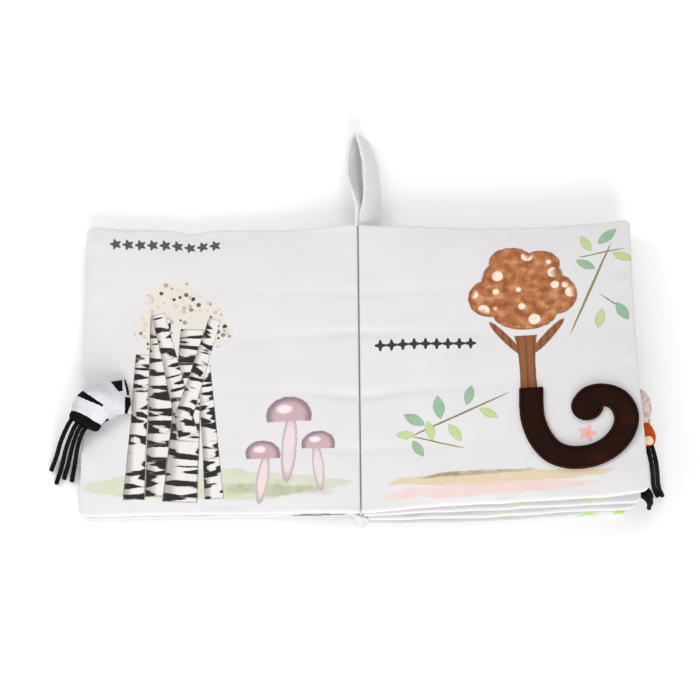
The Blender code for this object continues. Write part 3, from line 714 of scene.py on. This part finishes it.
# Each strand from its root to the tip: share of the length, place across of its middle, lean in degrees
right_strand = (
    (-0.02, 0.0064, 60), (0.07, 0.0083, 59), (0.19, 0.0098, 51), (0.30, 0.0106, 44), (0.46, 0.0107, 40),
    (0.67, 0.0097, 36), (0.78, 0.0085, 34), (0.87, 0.0071, 32), (0.955, 0.0052, 30), (1.005, 0.0042, 28))
left_strand = (
    (1.018, 0.0027, 28), (1.005, 0.0012, 28), (0.955, -0.0007, 29), (0.80, -0.0026, 31),
    (0.65, -0.0030, 33), (0.55, -0.0026, 35), (0.45, -0.0011, 38), (0.33, 0.0018, 42),
    (0.22, 0.0040, 46), (0.12, 0.0048, 50), (-0.02, 0.0048, 54))
line = smooth([(across, LOOP_BASE + share * (LOOP_LENGTH - LOOP_TAPE / 2), lean)
               for share, across, lean in right_strand + left_strand], 8)
# Half thickness of the tape at shares of its half width: the folded edges are thicker and round
hem = ((0.0, 0.00070), (0.35, 0.00070), (0.60, 0.00072), (0.72, 0.00084), (0.79, 0.00102), (0.87, 0.00112),
       (0.94, 0.00094), (0.98, 0.00060), (1.0, 0.00020))
one_side = [(half, -share * LOOP_WIDTH / 2) for share, half in hem[:0:-1]]
one_side += [(half, share * LOOP_WIDTH / 2) for share, half in hem]
section = one_side + [(-half, up) for half, up in reversed(one_side)]
tape_points, tape_spread, tape_run = [], [], 0.0
for index, place in enumerate(line):
    before, after = line[max(0, index - 1)], line[min(len(line) - 1, index + 1)]
    along = Vector((after.x - before.x, after.y - before.y, 0)).normalized()
    tape_run += (place - line[index - 1]).to_2d().length if index else 0.0
    lean = math.radians(place.z)
    down = Vector((-math.sin(lean), 0, math.cos(lean)))
    out = along.cross(down).normalized()
    centre = Vector((place.x, place.y, HINGE_Z - GAP - LOOP_WIDTH / 2 * math.cos(lean)))
    for across, up in section:
        curl = 0.0005 * noise.noise(Vector((tape_run / 0.012, up * 120, 4.0)))
        curl += 0.0009 * (up / LOOP_WIDTH * 2) ** 2
        tape_points.append(centre + out * (across - curl) + down * up)
        tape_spread.append((tape_run / PAGE_HEIGHT, (up + across * 2) / PAGE_HEIGHT))
tape_faces = ring_faces(len(line), len(section))
loop = new_piece("carry_loop_tape", tape_points, tape_faces, (tape_cloth,), tape_spread)
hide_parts("carry_loop")
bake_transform(loop)


# The striped tail is a stuffed tube of short white plush with black stripes, gathered where it is sewn
# to the left page. It ends in a black plush band, out of which four black cords come.
def stuffed_places(inset, from_foot, reach, drop, width, depth, shares):
    seat = CROWN_HALF + GAP
    rows = []
    for along, down, wide, thick in shares:
        rows.append(Vector((PAGE_WIDTH - inset + along * reach, from_foot - down * drop,
                            seat + thick * depth / 2, wide * width, thick * depth)))
    return rows


def run_of(places, index):
    """The way that a stuffed form runs at one of its places."""
    before, after = places[max(0, index - 1)], places[min(len(places) - 1, index + 1)]
    return Vector((after[0] - before[0], after[1] - before[1])).normalized()


def stuffed_skin(name, number, places, material, pucker, caps, sides=40):
    """A stuffed skin over a leaf. caps says how far each end closes over, as a share of its width."""
    rings = []
    first, last = run_of(places, 0), run_of(places, len(places) - 1)
    for back, size in ((1.0, 0.06), (0.92, 0.38), (0.66, 0.74), (0.30, 0.94)):
        u, v, height, width, depth = places[0]
        rings.append((u - first.x * caps[0] * width * back, v - first.y * caps[0] * width * back, height,
                      width * size, depth * size, first))
    for index, (u, v, height, width, depth) in enumerate(places):
        rings.append((u, v, height, width, depth, run_of(places, index)))
    for ahead, size in ((0.30, 0.94), (0.66, 0.74), (0.92, 0.38), (1.0, 0.06)):
        u, v, height, width, depth = places[-1]
        rings.append((u + last.x * caps[1] * width * ahead, v + last.y * caps[1] * width * ahead, height,
                      width * size, depth * size, last))
    points, spread, run = [], [], 0.0
    for row, (u, v, height, width, depth, along) in enumerate(rings):
        if row:
            run += math.hypot(u - rings[row - 1][0], v - rings[row - 1][1])
        gather = pucker * math.exp(-abs(row - 3.0) / 3.5)
        for k in range(sides):
            turn = 2 * math.pi * k / sides
            swell = 1 + gather * math.cos(11 * turn + 1.3 * math.sin(3 * turn))
            swell += 0.045 * noise.noise(Vector((math.cos(turn) * 1.5, math.sin(turn) * 1.5, run / 0.0065)))
            side = width / 2 * math.cos(turn) * swell
            lift = depth / 2 * math.sin(turn) * swell
            points.append(leaf_point(number, u - along.y * side, v + along.x * side, height + lift))
            spread.append((run / PAGE_HEIGHT, k / sides))
    faces = ring_faces(len(rings), sides, turned=number > LEFT_LEAVES)
    return new_piece(name, points, faces, (material,), spread)


def plush_relief(place):
    """Short pile: fine clumps and finer fibres."""
    return place.grain(1100.0, 3.0) * 0.6 + place.grain(380.0, 2.0) * 0.4


def carried_on(places, distance, width, depth):
    last, along = places[-1], run_of(places, len(places) - 1)
    return Vector((last[0] + along.x * distance, last[1] + along.y * distance, last[2], width, depth))


plush_width, plush_depth = 0.0264, 0.013
plush_shares = (
    (0.0, 0.0, 0.87, 0.42), (0.15, 0.05, 0.88, 0.66), (0.34, 0.14, 0.90, 0.88),
    (0.58, 0.28, 0.97, 1.0), (0.77, 0.46, 1.0, 1.0), (0.90, 0.70, 0.96, 0.98), (1.0, 1.0, 0.84, 0.86),
)
coarse = stuffed_places(0.0305, 0.0797, 0.0268, 0.016, plush_width, plush_depth, plush_shares)
striped_places = smooth(coarse, 5)

striped, striped_shader, striped_place = finish_of("striped_plush", 0.95, 0.05, 0.03)
tail_x, tail_y, tail_z = striped_place.scaled(1000.0).parts()
tail_plan = striped_place.node("ShaderNodeCombineXYZ", {}, {
    0: tail_x - tail_z * 0.092, 1: tail_y + tail_z * 0.337})
tail_edge = painted_edge(tail_plan, 1.3, 0.6)


def wedge_mark(root, tip, half_width):
    """A painted wedge, widest at its root and pointed at its tip."""
    along = Vector(tip) - Vector(root)
    turn = math.degrees(math.atan2(along.y, along.x))
    x, y, _ = tail_edge.local(root, turn, (along.length, half_width)).parts()
    return (1 - x * 0.74 - abs(y)).least((1 - x) * 6).least(x * 4 + 0.6)


stripes = any_of(wedge_mark(*mark) for mark in (
    ((-187.6, -10.0), (-168.4, -20.8), 2.9), ((-161.6, 0.5), (-157.0, -11.0), 5.2),
    ((-153.3, 1.5), (-152.3, -14.0), 2.7), ((-151.9, -17.0), (-153.6, -28.0), 2.4),
    ((-165.0, -31.6), (-171.4, -37.6), 1.7)))
# Darker grey-lavender patches over the white plush: partly its own random mottle, partly painted shade
# standing for its soft crumples
plush_mottle_and_shade = striped_place.grain(85.0, 4.0).step(0.30, 0.62)
white_plush = plush_mottle_and_shade.between(paint(194, 194, 203), paint(217, 217, 222))
striped_colour = white_plush.over(paint(12, 12, 13), stripes.step(-0.03, 0.05))
join(striped, striped_shader, striped_colour, plush_relief(striped_place), 0.0007, 0.7)
striped_tail = stuffed_skin("striped_tail_plush", 2, striped_places, striped, 0.10, (0.05, 0.0))
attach(striped_tail, "plush_tail")
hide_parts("striped_tail")

black_plush, black_shader, black_place = finish_of("black_plush", 0.92, 0.01, 0.04)
black_tone = black_place.grain(260.0, 3.0).between(paint(11, 11, 12), paint(25, 24, 26))
join(black_plush, black_shader, black_tone, plush_relief(black_place), 0.0005, 0.5)
_, _, _, end_width, end_depth = coarse[-1]
collar_length = 0.0045
collar_ends = [carried_on(striped_places, GAP + collar_length * share, end_width, end_depth)
               for share in (0.0, 0.5, 1.0)]
collar = [carried_on(striped_places, collar_length * share - 0.0004,
                     end_width * (1.015 - 0.10 * share ** 4), end_depth * (1.02 - 0.16 * share ** 4))
          for share in (0.0, 0.2, 0.4, 0.6, 0.8, 0.95, 1.05)]
band = stuffed_skin("striped_tail_black_band", 2, collar, black_plush, 0.0, (0.0, 0.012))
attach(band, "plush_tail")
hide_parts("striped_tail_band")


# The black cords are round, 3 mm thick and limp, cut off square. Each leaves its tail straight, bends
# over the edge of the page and hangs or lies on the table.
CORD = 0.003
cord_black, cord_shader, cord_place = finish_of("black_cord", 0.8, 0.01, 0.08)
cord_cut = cut_place(cord_place)
cord_x, cord_y, _ = cord_cut.parts()
one_way, other_way = cord_x * 3.6 + cord_y * 0.9, cord_x * 3.6 - cord_y * 0.9
strands = (one_way.sums("SINE") + other_way.sums("SINE")) * 0.25 + 0.5
cord_tone = strands.between(paint(9, 9, 10), paint(25, 24, 26))
join(cord_black, cord_shader, cord_tone, strands * 0.7 + cord_place.grain(900.0) * 0.3, 0.00018, 0.7)


def cord_route(number, places, route):
    """World points of a cord: along the run of the form that it leaves, sideways and down."""
    last, along = places[-1], (places[-1] - places[-2]).to_2d().normalized()
    points = []
    for run, sideways, fall in route:
        ahead = GAP + run
        points.append(leaf_point(number, last[0] + along.x * ahead + along.y * sideways,
                                 last[1] + along.y * ahead - along.x * sideways, last[2] - fall))
    return smooth(points, 8)


def black_cord(name, points, body, node):
    """A round cord along a route, with a softly rounded cut end."""
    sides, radius = 14, CORD / 2
    ring_points, spread, rows, run = [], [], [], 0.0
    for index, point in enumerate(points):
        run += (point - points[index - 1]).length if index else 0.0
        along = (points[min(len(points) - 1, index + 1)] - points[max(0, index - 1)]).normalized()
        rows.append((point, along, radius, run))
    point, along, _, _ = rows[-1]
    rows[-1] = (point - along * 0.0003, along, radius, run - 0.0003)
    rows.append((point, along, radius * 0.80, run))
    point, along, _, _ = rows[0]
    rows.insert(0, (point - along * 0.0009, along, radius * 0.9, -0.0009))
    across = rows[0][1].cross(Vector((0, 0, 1))).normalized()
    for point, along, size, travelled in rows:
        across = (across - along * across.dot(along)).normalized()
        above = along.cross(across)
        for k in range(sides):
            turn = 2 * math.pi * k / sides
            reach = size * (1 + 0.03 * math.cos(2 * turn + travelled * 1500))
            ring_points.append(point + (across * math.cos(turn) + above * math.sin(turn)) * reach)
            spread.append((0.2 + travelled * 5, k / sides * 0.0471))
    faces = ring_faces(len(rows), sides, turned=True)
    cord = new_piece(name, ring_points, faces, (cord_black,), spread)
    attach(cord, body)
    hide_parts(node)
    length = sum((b - a).length for a, b in zip(points, points[1:]))


plush_routes = (
    ((0.0, 0.0028, 0.0), (0.005, 0.0028, 0.0), (0.013, 0.0036, 0.0052), (0.022, 0.0058, 0.0140),
     (0.0326, 0.0092, 0.0172)),
    ((0.0, -0.0004, 0.0), (0.005, -0.0004, 0.0), (0.014, 0.0002, 0.0060), (0.024, 0.0018, 0.0150),
     (0.0335, 0.0038, 0.0172)),
    ((0.0, -0.0036, 0.0), (0.005, -0.0036, 0.0), (0.016, -0.0031, 0.0070), (0.027, -0.0014, 0.0158),
     (0.0385, 0.0010, 0.0172)),
    ((0.0, -0.0080, 0.0), (0.005, -0.0080, 0.0), (0.014, -0.0082, 0.0062), (0.023, -0.0076, 0.0150),
     (0.0325, -0.0064, 0.0172)),
)
for index, route in enumerate(plush_routes, 1):
    black_cord(f"striped_tail_black_cord_{index}", cord_route(2, collar_ends, route), "plush_tail",
               f"striped_tail_cord_{index}")


# The felt tail on the right page is two layers of dark brown felt with the same curl, sewn together
# close to their edges and sewn to the page along the straight top end.
felt_brown, felt_shader, felt_place = finish_of("brown_felt", 0.96, 0.02, 0.0)
felt_tone = felt_place.grain(70.0, 4.0).between(paint(30, 17, 14), paint(42, 23, 17))
fluff = felt_place.grain(1500.0, 4.0)
felt_tone = felt_tone.over(paint(70, 34, 14), felt_place.grain(48.0, 3.0).step(0.50, 0.72) * 0.40)
felt_tone = felt_tone.over(paint(82, 48, 30), fluff.step(0.58, 0.78) * 0.35)
felt_across, _, _ = cut_place(felt_place).parts()
felt_across = abs(felt_across - 100)
# Painted shade: a dark line along the stitched groove about 2 mm inside each edge of the felt
felt_tone = felt_tone.over(paint(16, 8, 7), (1 - abs(felt_across - 37.75) / 3.2).step(0.0, 0.8) * 0.8)
# Painted highlight: a lighter band along the raised rim outside the stitched groove
felt_tone = felt_tone.over(paint(80, 44, 24), (1 - abs(felt_across - 45.5) / 3.0).step(0.0, 1.0) * 0.35)
join(felt_brown, felt_shader, felt_tone, fluff * 0.7 + felt_place.grain(420.0, 3.0) * 0.5, 0.0004, 0.6)
FELT_TOP, FELT_ACROSS, FELT_DOWN, FELT_BAND = (0.109, 0.0751), 0.059, 0.0474, 0.0155
felt_route_shares = (
    (0.0, 0.0), (-0.005, 0.21), (0.007, 0.43), (0.075, 0.68), (0.185, 0.875), (0.33, 0.975),
    (0.49, 1.0), (0.65, 0.97), (0.81, 0.87), (0.93, 0.71), (0.995, 0.52), (0.985, 0.34),
    (0.91, 0.185), (0.78, 0.11), (0.655, 0.15), (0.59, 0.255),
)
felt_line = smooth([(FELT_TOP[0] + across * FELT_ACROSS, FELT_TOP[1] - down * FELT_DOWN, 0)
                    for across, down in felt_route_shares], 7)
felt_half = []
for index in range(len(felt_line)):
    felt_half.append(FELT_BAND / 2 * (1 + 0.31 * rise(1 + (index + 1 - len(felt_line)) / 14)))
felt_pairs = []
for index, place in enumerate(felt_line):
    along = (felt_line[min(index + 1, len(felt_line) - 1)] - felt_line[max(index - 1, 0)]).normalized()
    if index == 0:
        along = Vector((0, -1, 0))
    across = Vector((-along.y, along.x, 0)) * felt_half[index]
    felt_pairs.append((place, across))
felt_pairs.insert(0, (felt_line[0] + Vector((0, 0.0021, 0)), felt_pairs[0][1]))
felt_end, end_across = felt_pairs[-1]
felt_ahead = Vector((end_across.y, -end_across.x, 0))
for step in range(1, 15):
    turn = math.pi / 2 * step / 14.6
    felt_pairs.append((felt_end + felt_ahead * math.sin(turn), end_across * math.cos(turn)))
felt_layer = 0.0012
felt_edge = [(1.0, 0.35), (0.985, 0.72), (0.94, 0.92), (0.86, 0.90), (0.80, 0.62), (0.755, 0.52),
             (0.71, 0.66), (0.63, 1.04), (0.3, 1.16)]
felt_section = [(-share, up) for share, up in felt_edge] + [(0.0, 1.20)] + felt_edge[::-1]
felt_section += [(0.97, 0.03), (0.6, 0.0), (0.0, 0.0), (-0.6, 0.0), (-0.97, 0.03)]


def felt_point(place, across, share, height):
    point = place + across * share
    ripple = 0.0004 * (1 + noise.noise(Vector((point.x / 0.012, point.y / 0.012, 6.0))))
    return leaf_point(3, point.x, point.y, height + ripple)


for layer, name in enumerate(("felt_tail_lower_layer", "felt_tail_upper_layer")):
    low = CROWN_HALF + layer * (felt_layer + 0.0001)
    points, spread = [], []
    for row, (place, across) in enumerate(felt_pairs):
        for share, up in felt_section:
            points.append(felt_point(place, across, share * (1.0 - 0.012 * layer), low + up * felt_layer))
            spread.append((0.5 + share / 4, row * 0.005))
    faces = ring_faces(len(felt_pairs), len(felt_section))
    felt = new_piece(name.replace("layer", "felt"), points, faces, (felt_brown,), spread)
    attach(felt, "felt_tail")
    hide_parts(name)
    FELT_BAND * sum((b - a).length for a, b in zip(felt_line, felt_line[1:])) + 0.00009


# The stitches are dark thread, laid by one rule: short rounded stitches, evenly spaced along a line.
def stitch_tree():
    tree = bpy.data.node_groups.new("stitches", "GeometryNodeTree")
    sockets = tree.interface
    sockets.new_socket("Line", in_out="INPUT", socket_type="NodeSocketGeometry")
    for name, size in (("Spacing", 0.003), ("Stitch length", 0.002), ("Thread", 0.0003)):
        sockets.new_socket(name, in_out="INPUT", socket_type="NodeSocketFloat").default_value = size
    sockets.new_socket("Thread colour", in_out="INPUT", socket_type="NodeSocketMaterial")
    sockets.new_socket("Stitches", in_out="OUTPUT", socket_type="NodeSocketGeometry")

    def node(kind, mode=None, **links):
        made = tree.nodes.new(kind)
        if mode:
            made.mode = mode
        for key, value in links.items():
            slot = made.inputs[key.replace("_", " ")]
            if isinstance(value, bpy.types.NodeSocket):
                tree.links.new(value, slot)
            else:
                slot.default_value = value
        return made

    given = node("NodeGroupInput").outputs
    curve = node("GeometryNodeMeshToCurve", Mesh=given["Line"]).outputs["Curve"]
    spaced = node("GeometryNodeResampleCurve", "LENGTH", Curve=curve, Length=given["Spacing"])
    points = node("GeometryNodeCurveToPoints", "EVALUATED", Curve=spaced.outputs["Curve"])
    ball = node("GeometryNodeMeshUVSphere", Segments=8, Rings=6, Radius=0.5).outputs["Mesh"]
    size = node("ShaderNodeCombineXYZ", X=given["Thread"], Y=given["Thread"], Z=given["Stitch length"])
    placed = node("GeometryNodeInstanceOnPoints", Points=points.outputs["Points"], Instance=ball,
                  Rotation=points.outputs["Rotation"], Scale=size.outputs["Vector"])
    real = node("GeometryNodeRealizeInstances", Geometry=placed.outputs["Instances"])
    painted = node("GeometryNodeSetMaterial", Geometry=real.outputs["Geometry"],
                   Material=given["Thread colour"])
    smooth_faces = node("GeometryNodeSetShadeSmooth", Geometry=painted.outputs["Geometry"])
    leaving = tree.nodes.new("NodeGroupOutput")
    tree.links.new(smooth_faces.outputs["Geometry"], leaving.inputs["Stitches"])
    return tree


stitches = stitch_tree()


def stitch_along(name, points, body, material, spacing, length, thread):
    """Stitches along a line of world points, turned into a plain mesh that rides on a body."""
    mesh = bpy.data.meshes.new(name + "_line")
    mesh.from_pydata([tuple(point) for point in points], [(k, k + 1) for k in range(len(points) - 1)], [])
    carrier = bpy.data.objects.new(name + "_line", mesh)
    bpy.context.scene.collection.objects.link(carrier)
    rule = carrier.modifiers.new("stitches", "NODES")
    rule.node_group = stitches
    given = {"Spacing": spacing, "Stitch length": length, "Thread": thread, "Thread colour": material}
    for item in stitches.interface.items_tree:
        if item.item_type == "SOCKET" and item.in_out == "INPUT" and item.name in given:
            rule[item.identifier] = given[item.name]
    seen = carrier.evaluated_get(bpy.context.evaluated_depsgraph_get())
    made = bpy.data.objects.new(name, bpy.data.meshes.new_from_object(seen))
    bpy.data.objects.remove(carrier, do_unlink=True)
    bpy.context.scene.collection.objects.link(made)
    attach(made, body)
    return made


brown_thread, thread_shader, thread_place = finish_of("brown_thread", 0.7, 0.0, 0.1)
thread_tone = thread_place.grain(900.0).between(paint(24, 12, 10), paint(46, 24, 18))
join(brown_thread, thread_shader, thread_tone, thread_place.grain(2500.0), 0.0001, 0.5)
felt_top = CROWN_HALF + 2 * felt_layer + 0.0001
inset_line = []
for side in (1, -1):
    row = []
    for place, across in felt_pairs:
        if across.length > 0.0022:
            share = side * (across.length - 0.0019) / across.length
            row.append(felt_point(place, across, share, felt_top - 0.00045))
    inset_line += row if side > 0 else row[::-1]
inset_line.append(inset_line[0])
stitch_along("felt_tail_stitches", inset_line, "felt_tail", brown_thread,
             spacing=0.0026, length=0.0019, thread=0.0004)


# The mottled tail comes out between the third and fourth leaves and bends down along their edge. It is
# stuffed plush in greyed pink, with an amber tip that has a cream patch, and black cords out of the tip.
mottled_shares = (
    (0.0, 0.0, 0.78, 0.50), (0.54, -0.05, 0.92, 0.64), (0.90, 0.12, 1.0, 0.80),
    (0.98, 0.41, 1.0, 0.95), (0.94, 0.73, 0.92, 1.0), (1.0, 1.0, 0.74, 0.90),
)
mottled_width, mottled_depth = 0.0135, 0.0085
mottled_coarse = stuffed_places(0.017, 0.0725, 0.0166, 0.0205, mottled_width, mottled_depth,
                                mottled_shares)
mottled_pairs = smooth(mottled_coarse, 2)
mottled_places = smooth(mottled_coarse, 6)
mottled, mottled_shader, mottled_place = finish_of("mottled_plush", 0.95, 0.12, 0.03)
patches = mottled_place.grain(120.0, 1.5)
mottled_tone = patches.node("ShaderNodeValToRGB", {"stops": (
    (0.30, paint(196, 170, 160)), (0.42, paint(216, 202, 198)), (0.50, paint(192, 168, 162)),
    (0.60, paint(224, 206, 200)), (0.70, paint(172, 134, 114)))}, {0: patches})
join(mottled, mottled_shader, mottled_tone, plush_relief(mottled_place), 0.0005, 0.5)
mottled_tail = stuffed_skin("mottled_tail_plush", 4, mottled_places, mottled, 0.06, (0.04, 0.0), 32)
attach(mottled_tail, "edge_tail")
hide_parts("mottled_tail")

tip_length = 0.0150
tip_shares = ((0.0, 0.68, 0.84), (0.28, 0.88, 0.96), (0.60, 0.90, 0.96), (0.85, 0.68, 0.76),
              (1.0, 0.42, 0.46))
tip_coarse = [carried_on(mottled_pairs, GAP + share * tip_length, width * mottled_width,
                         depth * mottled_depth) for share, width, depth in tip_shares]
amber, amber_shader, amber_place = finish_of("amber_plush", 0.93, 0.08, 0.05)
amber_x, amber_y, amber_z = amber_place.scaled(1000.0).parts()
amber_plan = amber_place.node("ShaderNodeCombineXYZ", {}, {
    0: amber_x + amber_z * 0.146, 1: amber_y + amber_z * 0.324})
amber_edge = painted_edge(amber_plan, 1.2, 0.6)
amber_tone = amber_place.grain(240.0, 3.0).between(paint(158, 44, 3), paint(206, 84, 14))
cream_patch = disc(amber_edge, (189.6, -46.6), (3.0, 3.1))
amber_tone = amber_tone.over(paint(226, 208, 176), cream_patch.step(-0.05, 0.10))
join(amber, amber_shader, amber_tone, plush_relief(amber_place), 0.0005, 0.5)
tip = stuffed_skin("mottled_tail_amber_tip", 4, smooth(tip_coarse, 5), amber, 0.05, (0.03, 0.02), 32)
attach(tip, "edge_tail")
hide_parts("mottled_tail_tip")
mottled_routes = (
    ((0.0, 0.0015, 0.0), (0.005, 0.0015, 0.0), (0.0104, 0.0011, 0.0040), (0.0148, 0.0001, 0.0150),
     (0.0177, -0.0011, 0.0270), (0.0202, -0.0023, 0.0345), (0.0245, -0.0037, 0.0374)),
    ((0.0, -0.0016, 0.0), (0.005, -0.0016, 0.0), (0.0105, -0.0020, 0.0040), (0.015, -0.0030, 0.0150),
     (0.018, -0.0042, 0.0270), (0.0205, -0.0054, 0.0345), (0.025, -0.0068, 0.0374)),
)
for index, route in enumerate(mottled_routes, 1):
    black_cord(f"mottled_tail_black_cord_{index}", cord_route(4, tip_coarse, route), "edge_tail",
               f"mottled_tail_cord_{index}")


# A black plush tab is sewn on the fifth leaf near its lower corner. Its three cords come out over the
# right edge of the stack.
tab_lean = Vector((1.0, -0.55)).normalized()
tab_length, tab_width, tab_depth = 0.012, 0.013, 0.0032
tab_height = CROWN_HALF + GAP + tab_depth / 2
tab_places = [Vector((PAGE_WIDTH - 0.021 - tab_lean.x * tab_length * back,
                      0.024 - tab_lean.y * tab_length * back, tab_height, tab_width, tab_depth))
              for back in (1.0, 0.75, 0.5, 0.25, 0.0)]
tab = stuffed_skin("corner_tab_plush", 5, tab_places, black_plush, 0.03, (0.0, 0.0), 28)
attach(tab, "leaf_5")
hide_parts("corner_tab")
tab_routes = (
    ((0.0, 0.0034, 0.0), (0.005, 0.0034, 0.0), (0.017, 0.0033, 0.0003), (0.025, 0.0034, 0.0010),
     (0.029, 0.0036, 0.0040), (0.031, 0.0040, 0.0090), (0.0318, 0.0044, 0.0145)),
    ((0.0, 0.0, 0.0), (0.005, 0.0, 0.0), (0.017, 0.0001, 0.0003), (0.0235, 0.0002, 0.0010),
     (0.028, 0.0004, 0.0040), (0.0305, 0.0006, 0.0095), (0.0315, 0.0007, 0.0155)),
    ((0.0, -0.0034, 0.0), (0.005, -0.0034, 0.0), (0.016, -0.0032, 0.0003), (0.0215, -0.0031, 0.0010),
     (0.0262, -0.0029, 0.0040), (0.0290, -0.0027, 0.0090), (0.0300, -0.0026, 0.0140)),
)
for index, route in enumerate(tab_routes, 1):
    black_cord(f"corner_black_cord_{index}", cord_route(5, tab_places, route), "leaf_5",
               f"corner_cord_{index}")


# The book lies on a plain white table under a white sky and three soft boxes, the strongest at the foot,
# seen from nearly above.
floor_mesh = bpy.data.meshes.new("table_top")
floor_mesh.from_pydata([(-3, -3, 0), (3, -3, 0), (3, 3, 0), (-3, 3, 0)], [], [(0, 1, 2, 3)])
floor = bpy.data.objects.new("table_top", floor_mesh)
bpy.context.scene.collection.objects.link(floor)
floor.location.z = -0.0002
table_white, table_shader, table_place = finish_of("table_white", 0.9, 0.0, 0.0)
table_tone = table_place.grain(3.0).between((0.97, 0.97, 0.97, 1.0), (0.99, 0.99, 0.99, 1.0))
join(table_white, table_shader, table_tone)
floor_mesh.materials.append(table_white)

world = bpy.data.worlds.new("studio")
world.use_nodes = True
world.node_tree.nodes["Background"].inputs["Color"].default_value = (1.0, 1.0, 1.0, 1.0)
world.node_tree.nodes["Background"].inputs["Strength"].default_value = 0.68
bpy.context.scene.world = world
bpy.context.scene.view_settings.view_transform = "Standard"
for name, place, size, power in (
    ("soft_box_foot", (0.15, -1.70, 0.90), 1.2, 24.0), ("soft_box_left", (-1.2, 0.3, 1.1), 0.9, 5.5),
    ("soft_box_head", (0.3, 1.2, 1.3), 0.9, 4.5),
):
    lamp = bpy.data.lights.new(name, "AREA")
    lamp.shape, lamp.size, lamp.energy = "DISK", size, power
    holder = bpy.data.objects.new(name, lamp)
    bpy.context.scene.collection.objects.link(holder)
    holder.location = place
    holder.rotation_euler = (-Vector(place)).to_track_quat("-Z", "Y").to_euler()

lens = bpy.data.cameras.new("camera")
lens.sensor_fit, lens.sensor_width, lens.lens = "HORIZONTAL", 36.0, 124.5
lens.clip_start, lens.clip_end = 0.05, 20.0
camera = bpy.data.objects.new("camera", lens)
bpy.context.scene.collection.objects.link(camera)
camera.location = (-0.0273, -0.5222, 1.5121)
camera.rotation_euler = (math.radians(19.63), math.radians(-0.63), math.radians(-0.52))
bpy.context.scene.camera = camera
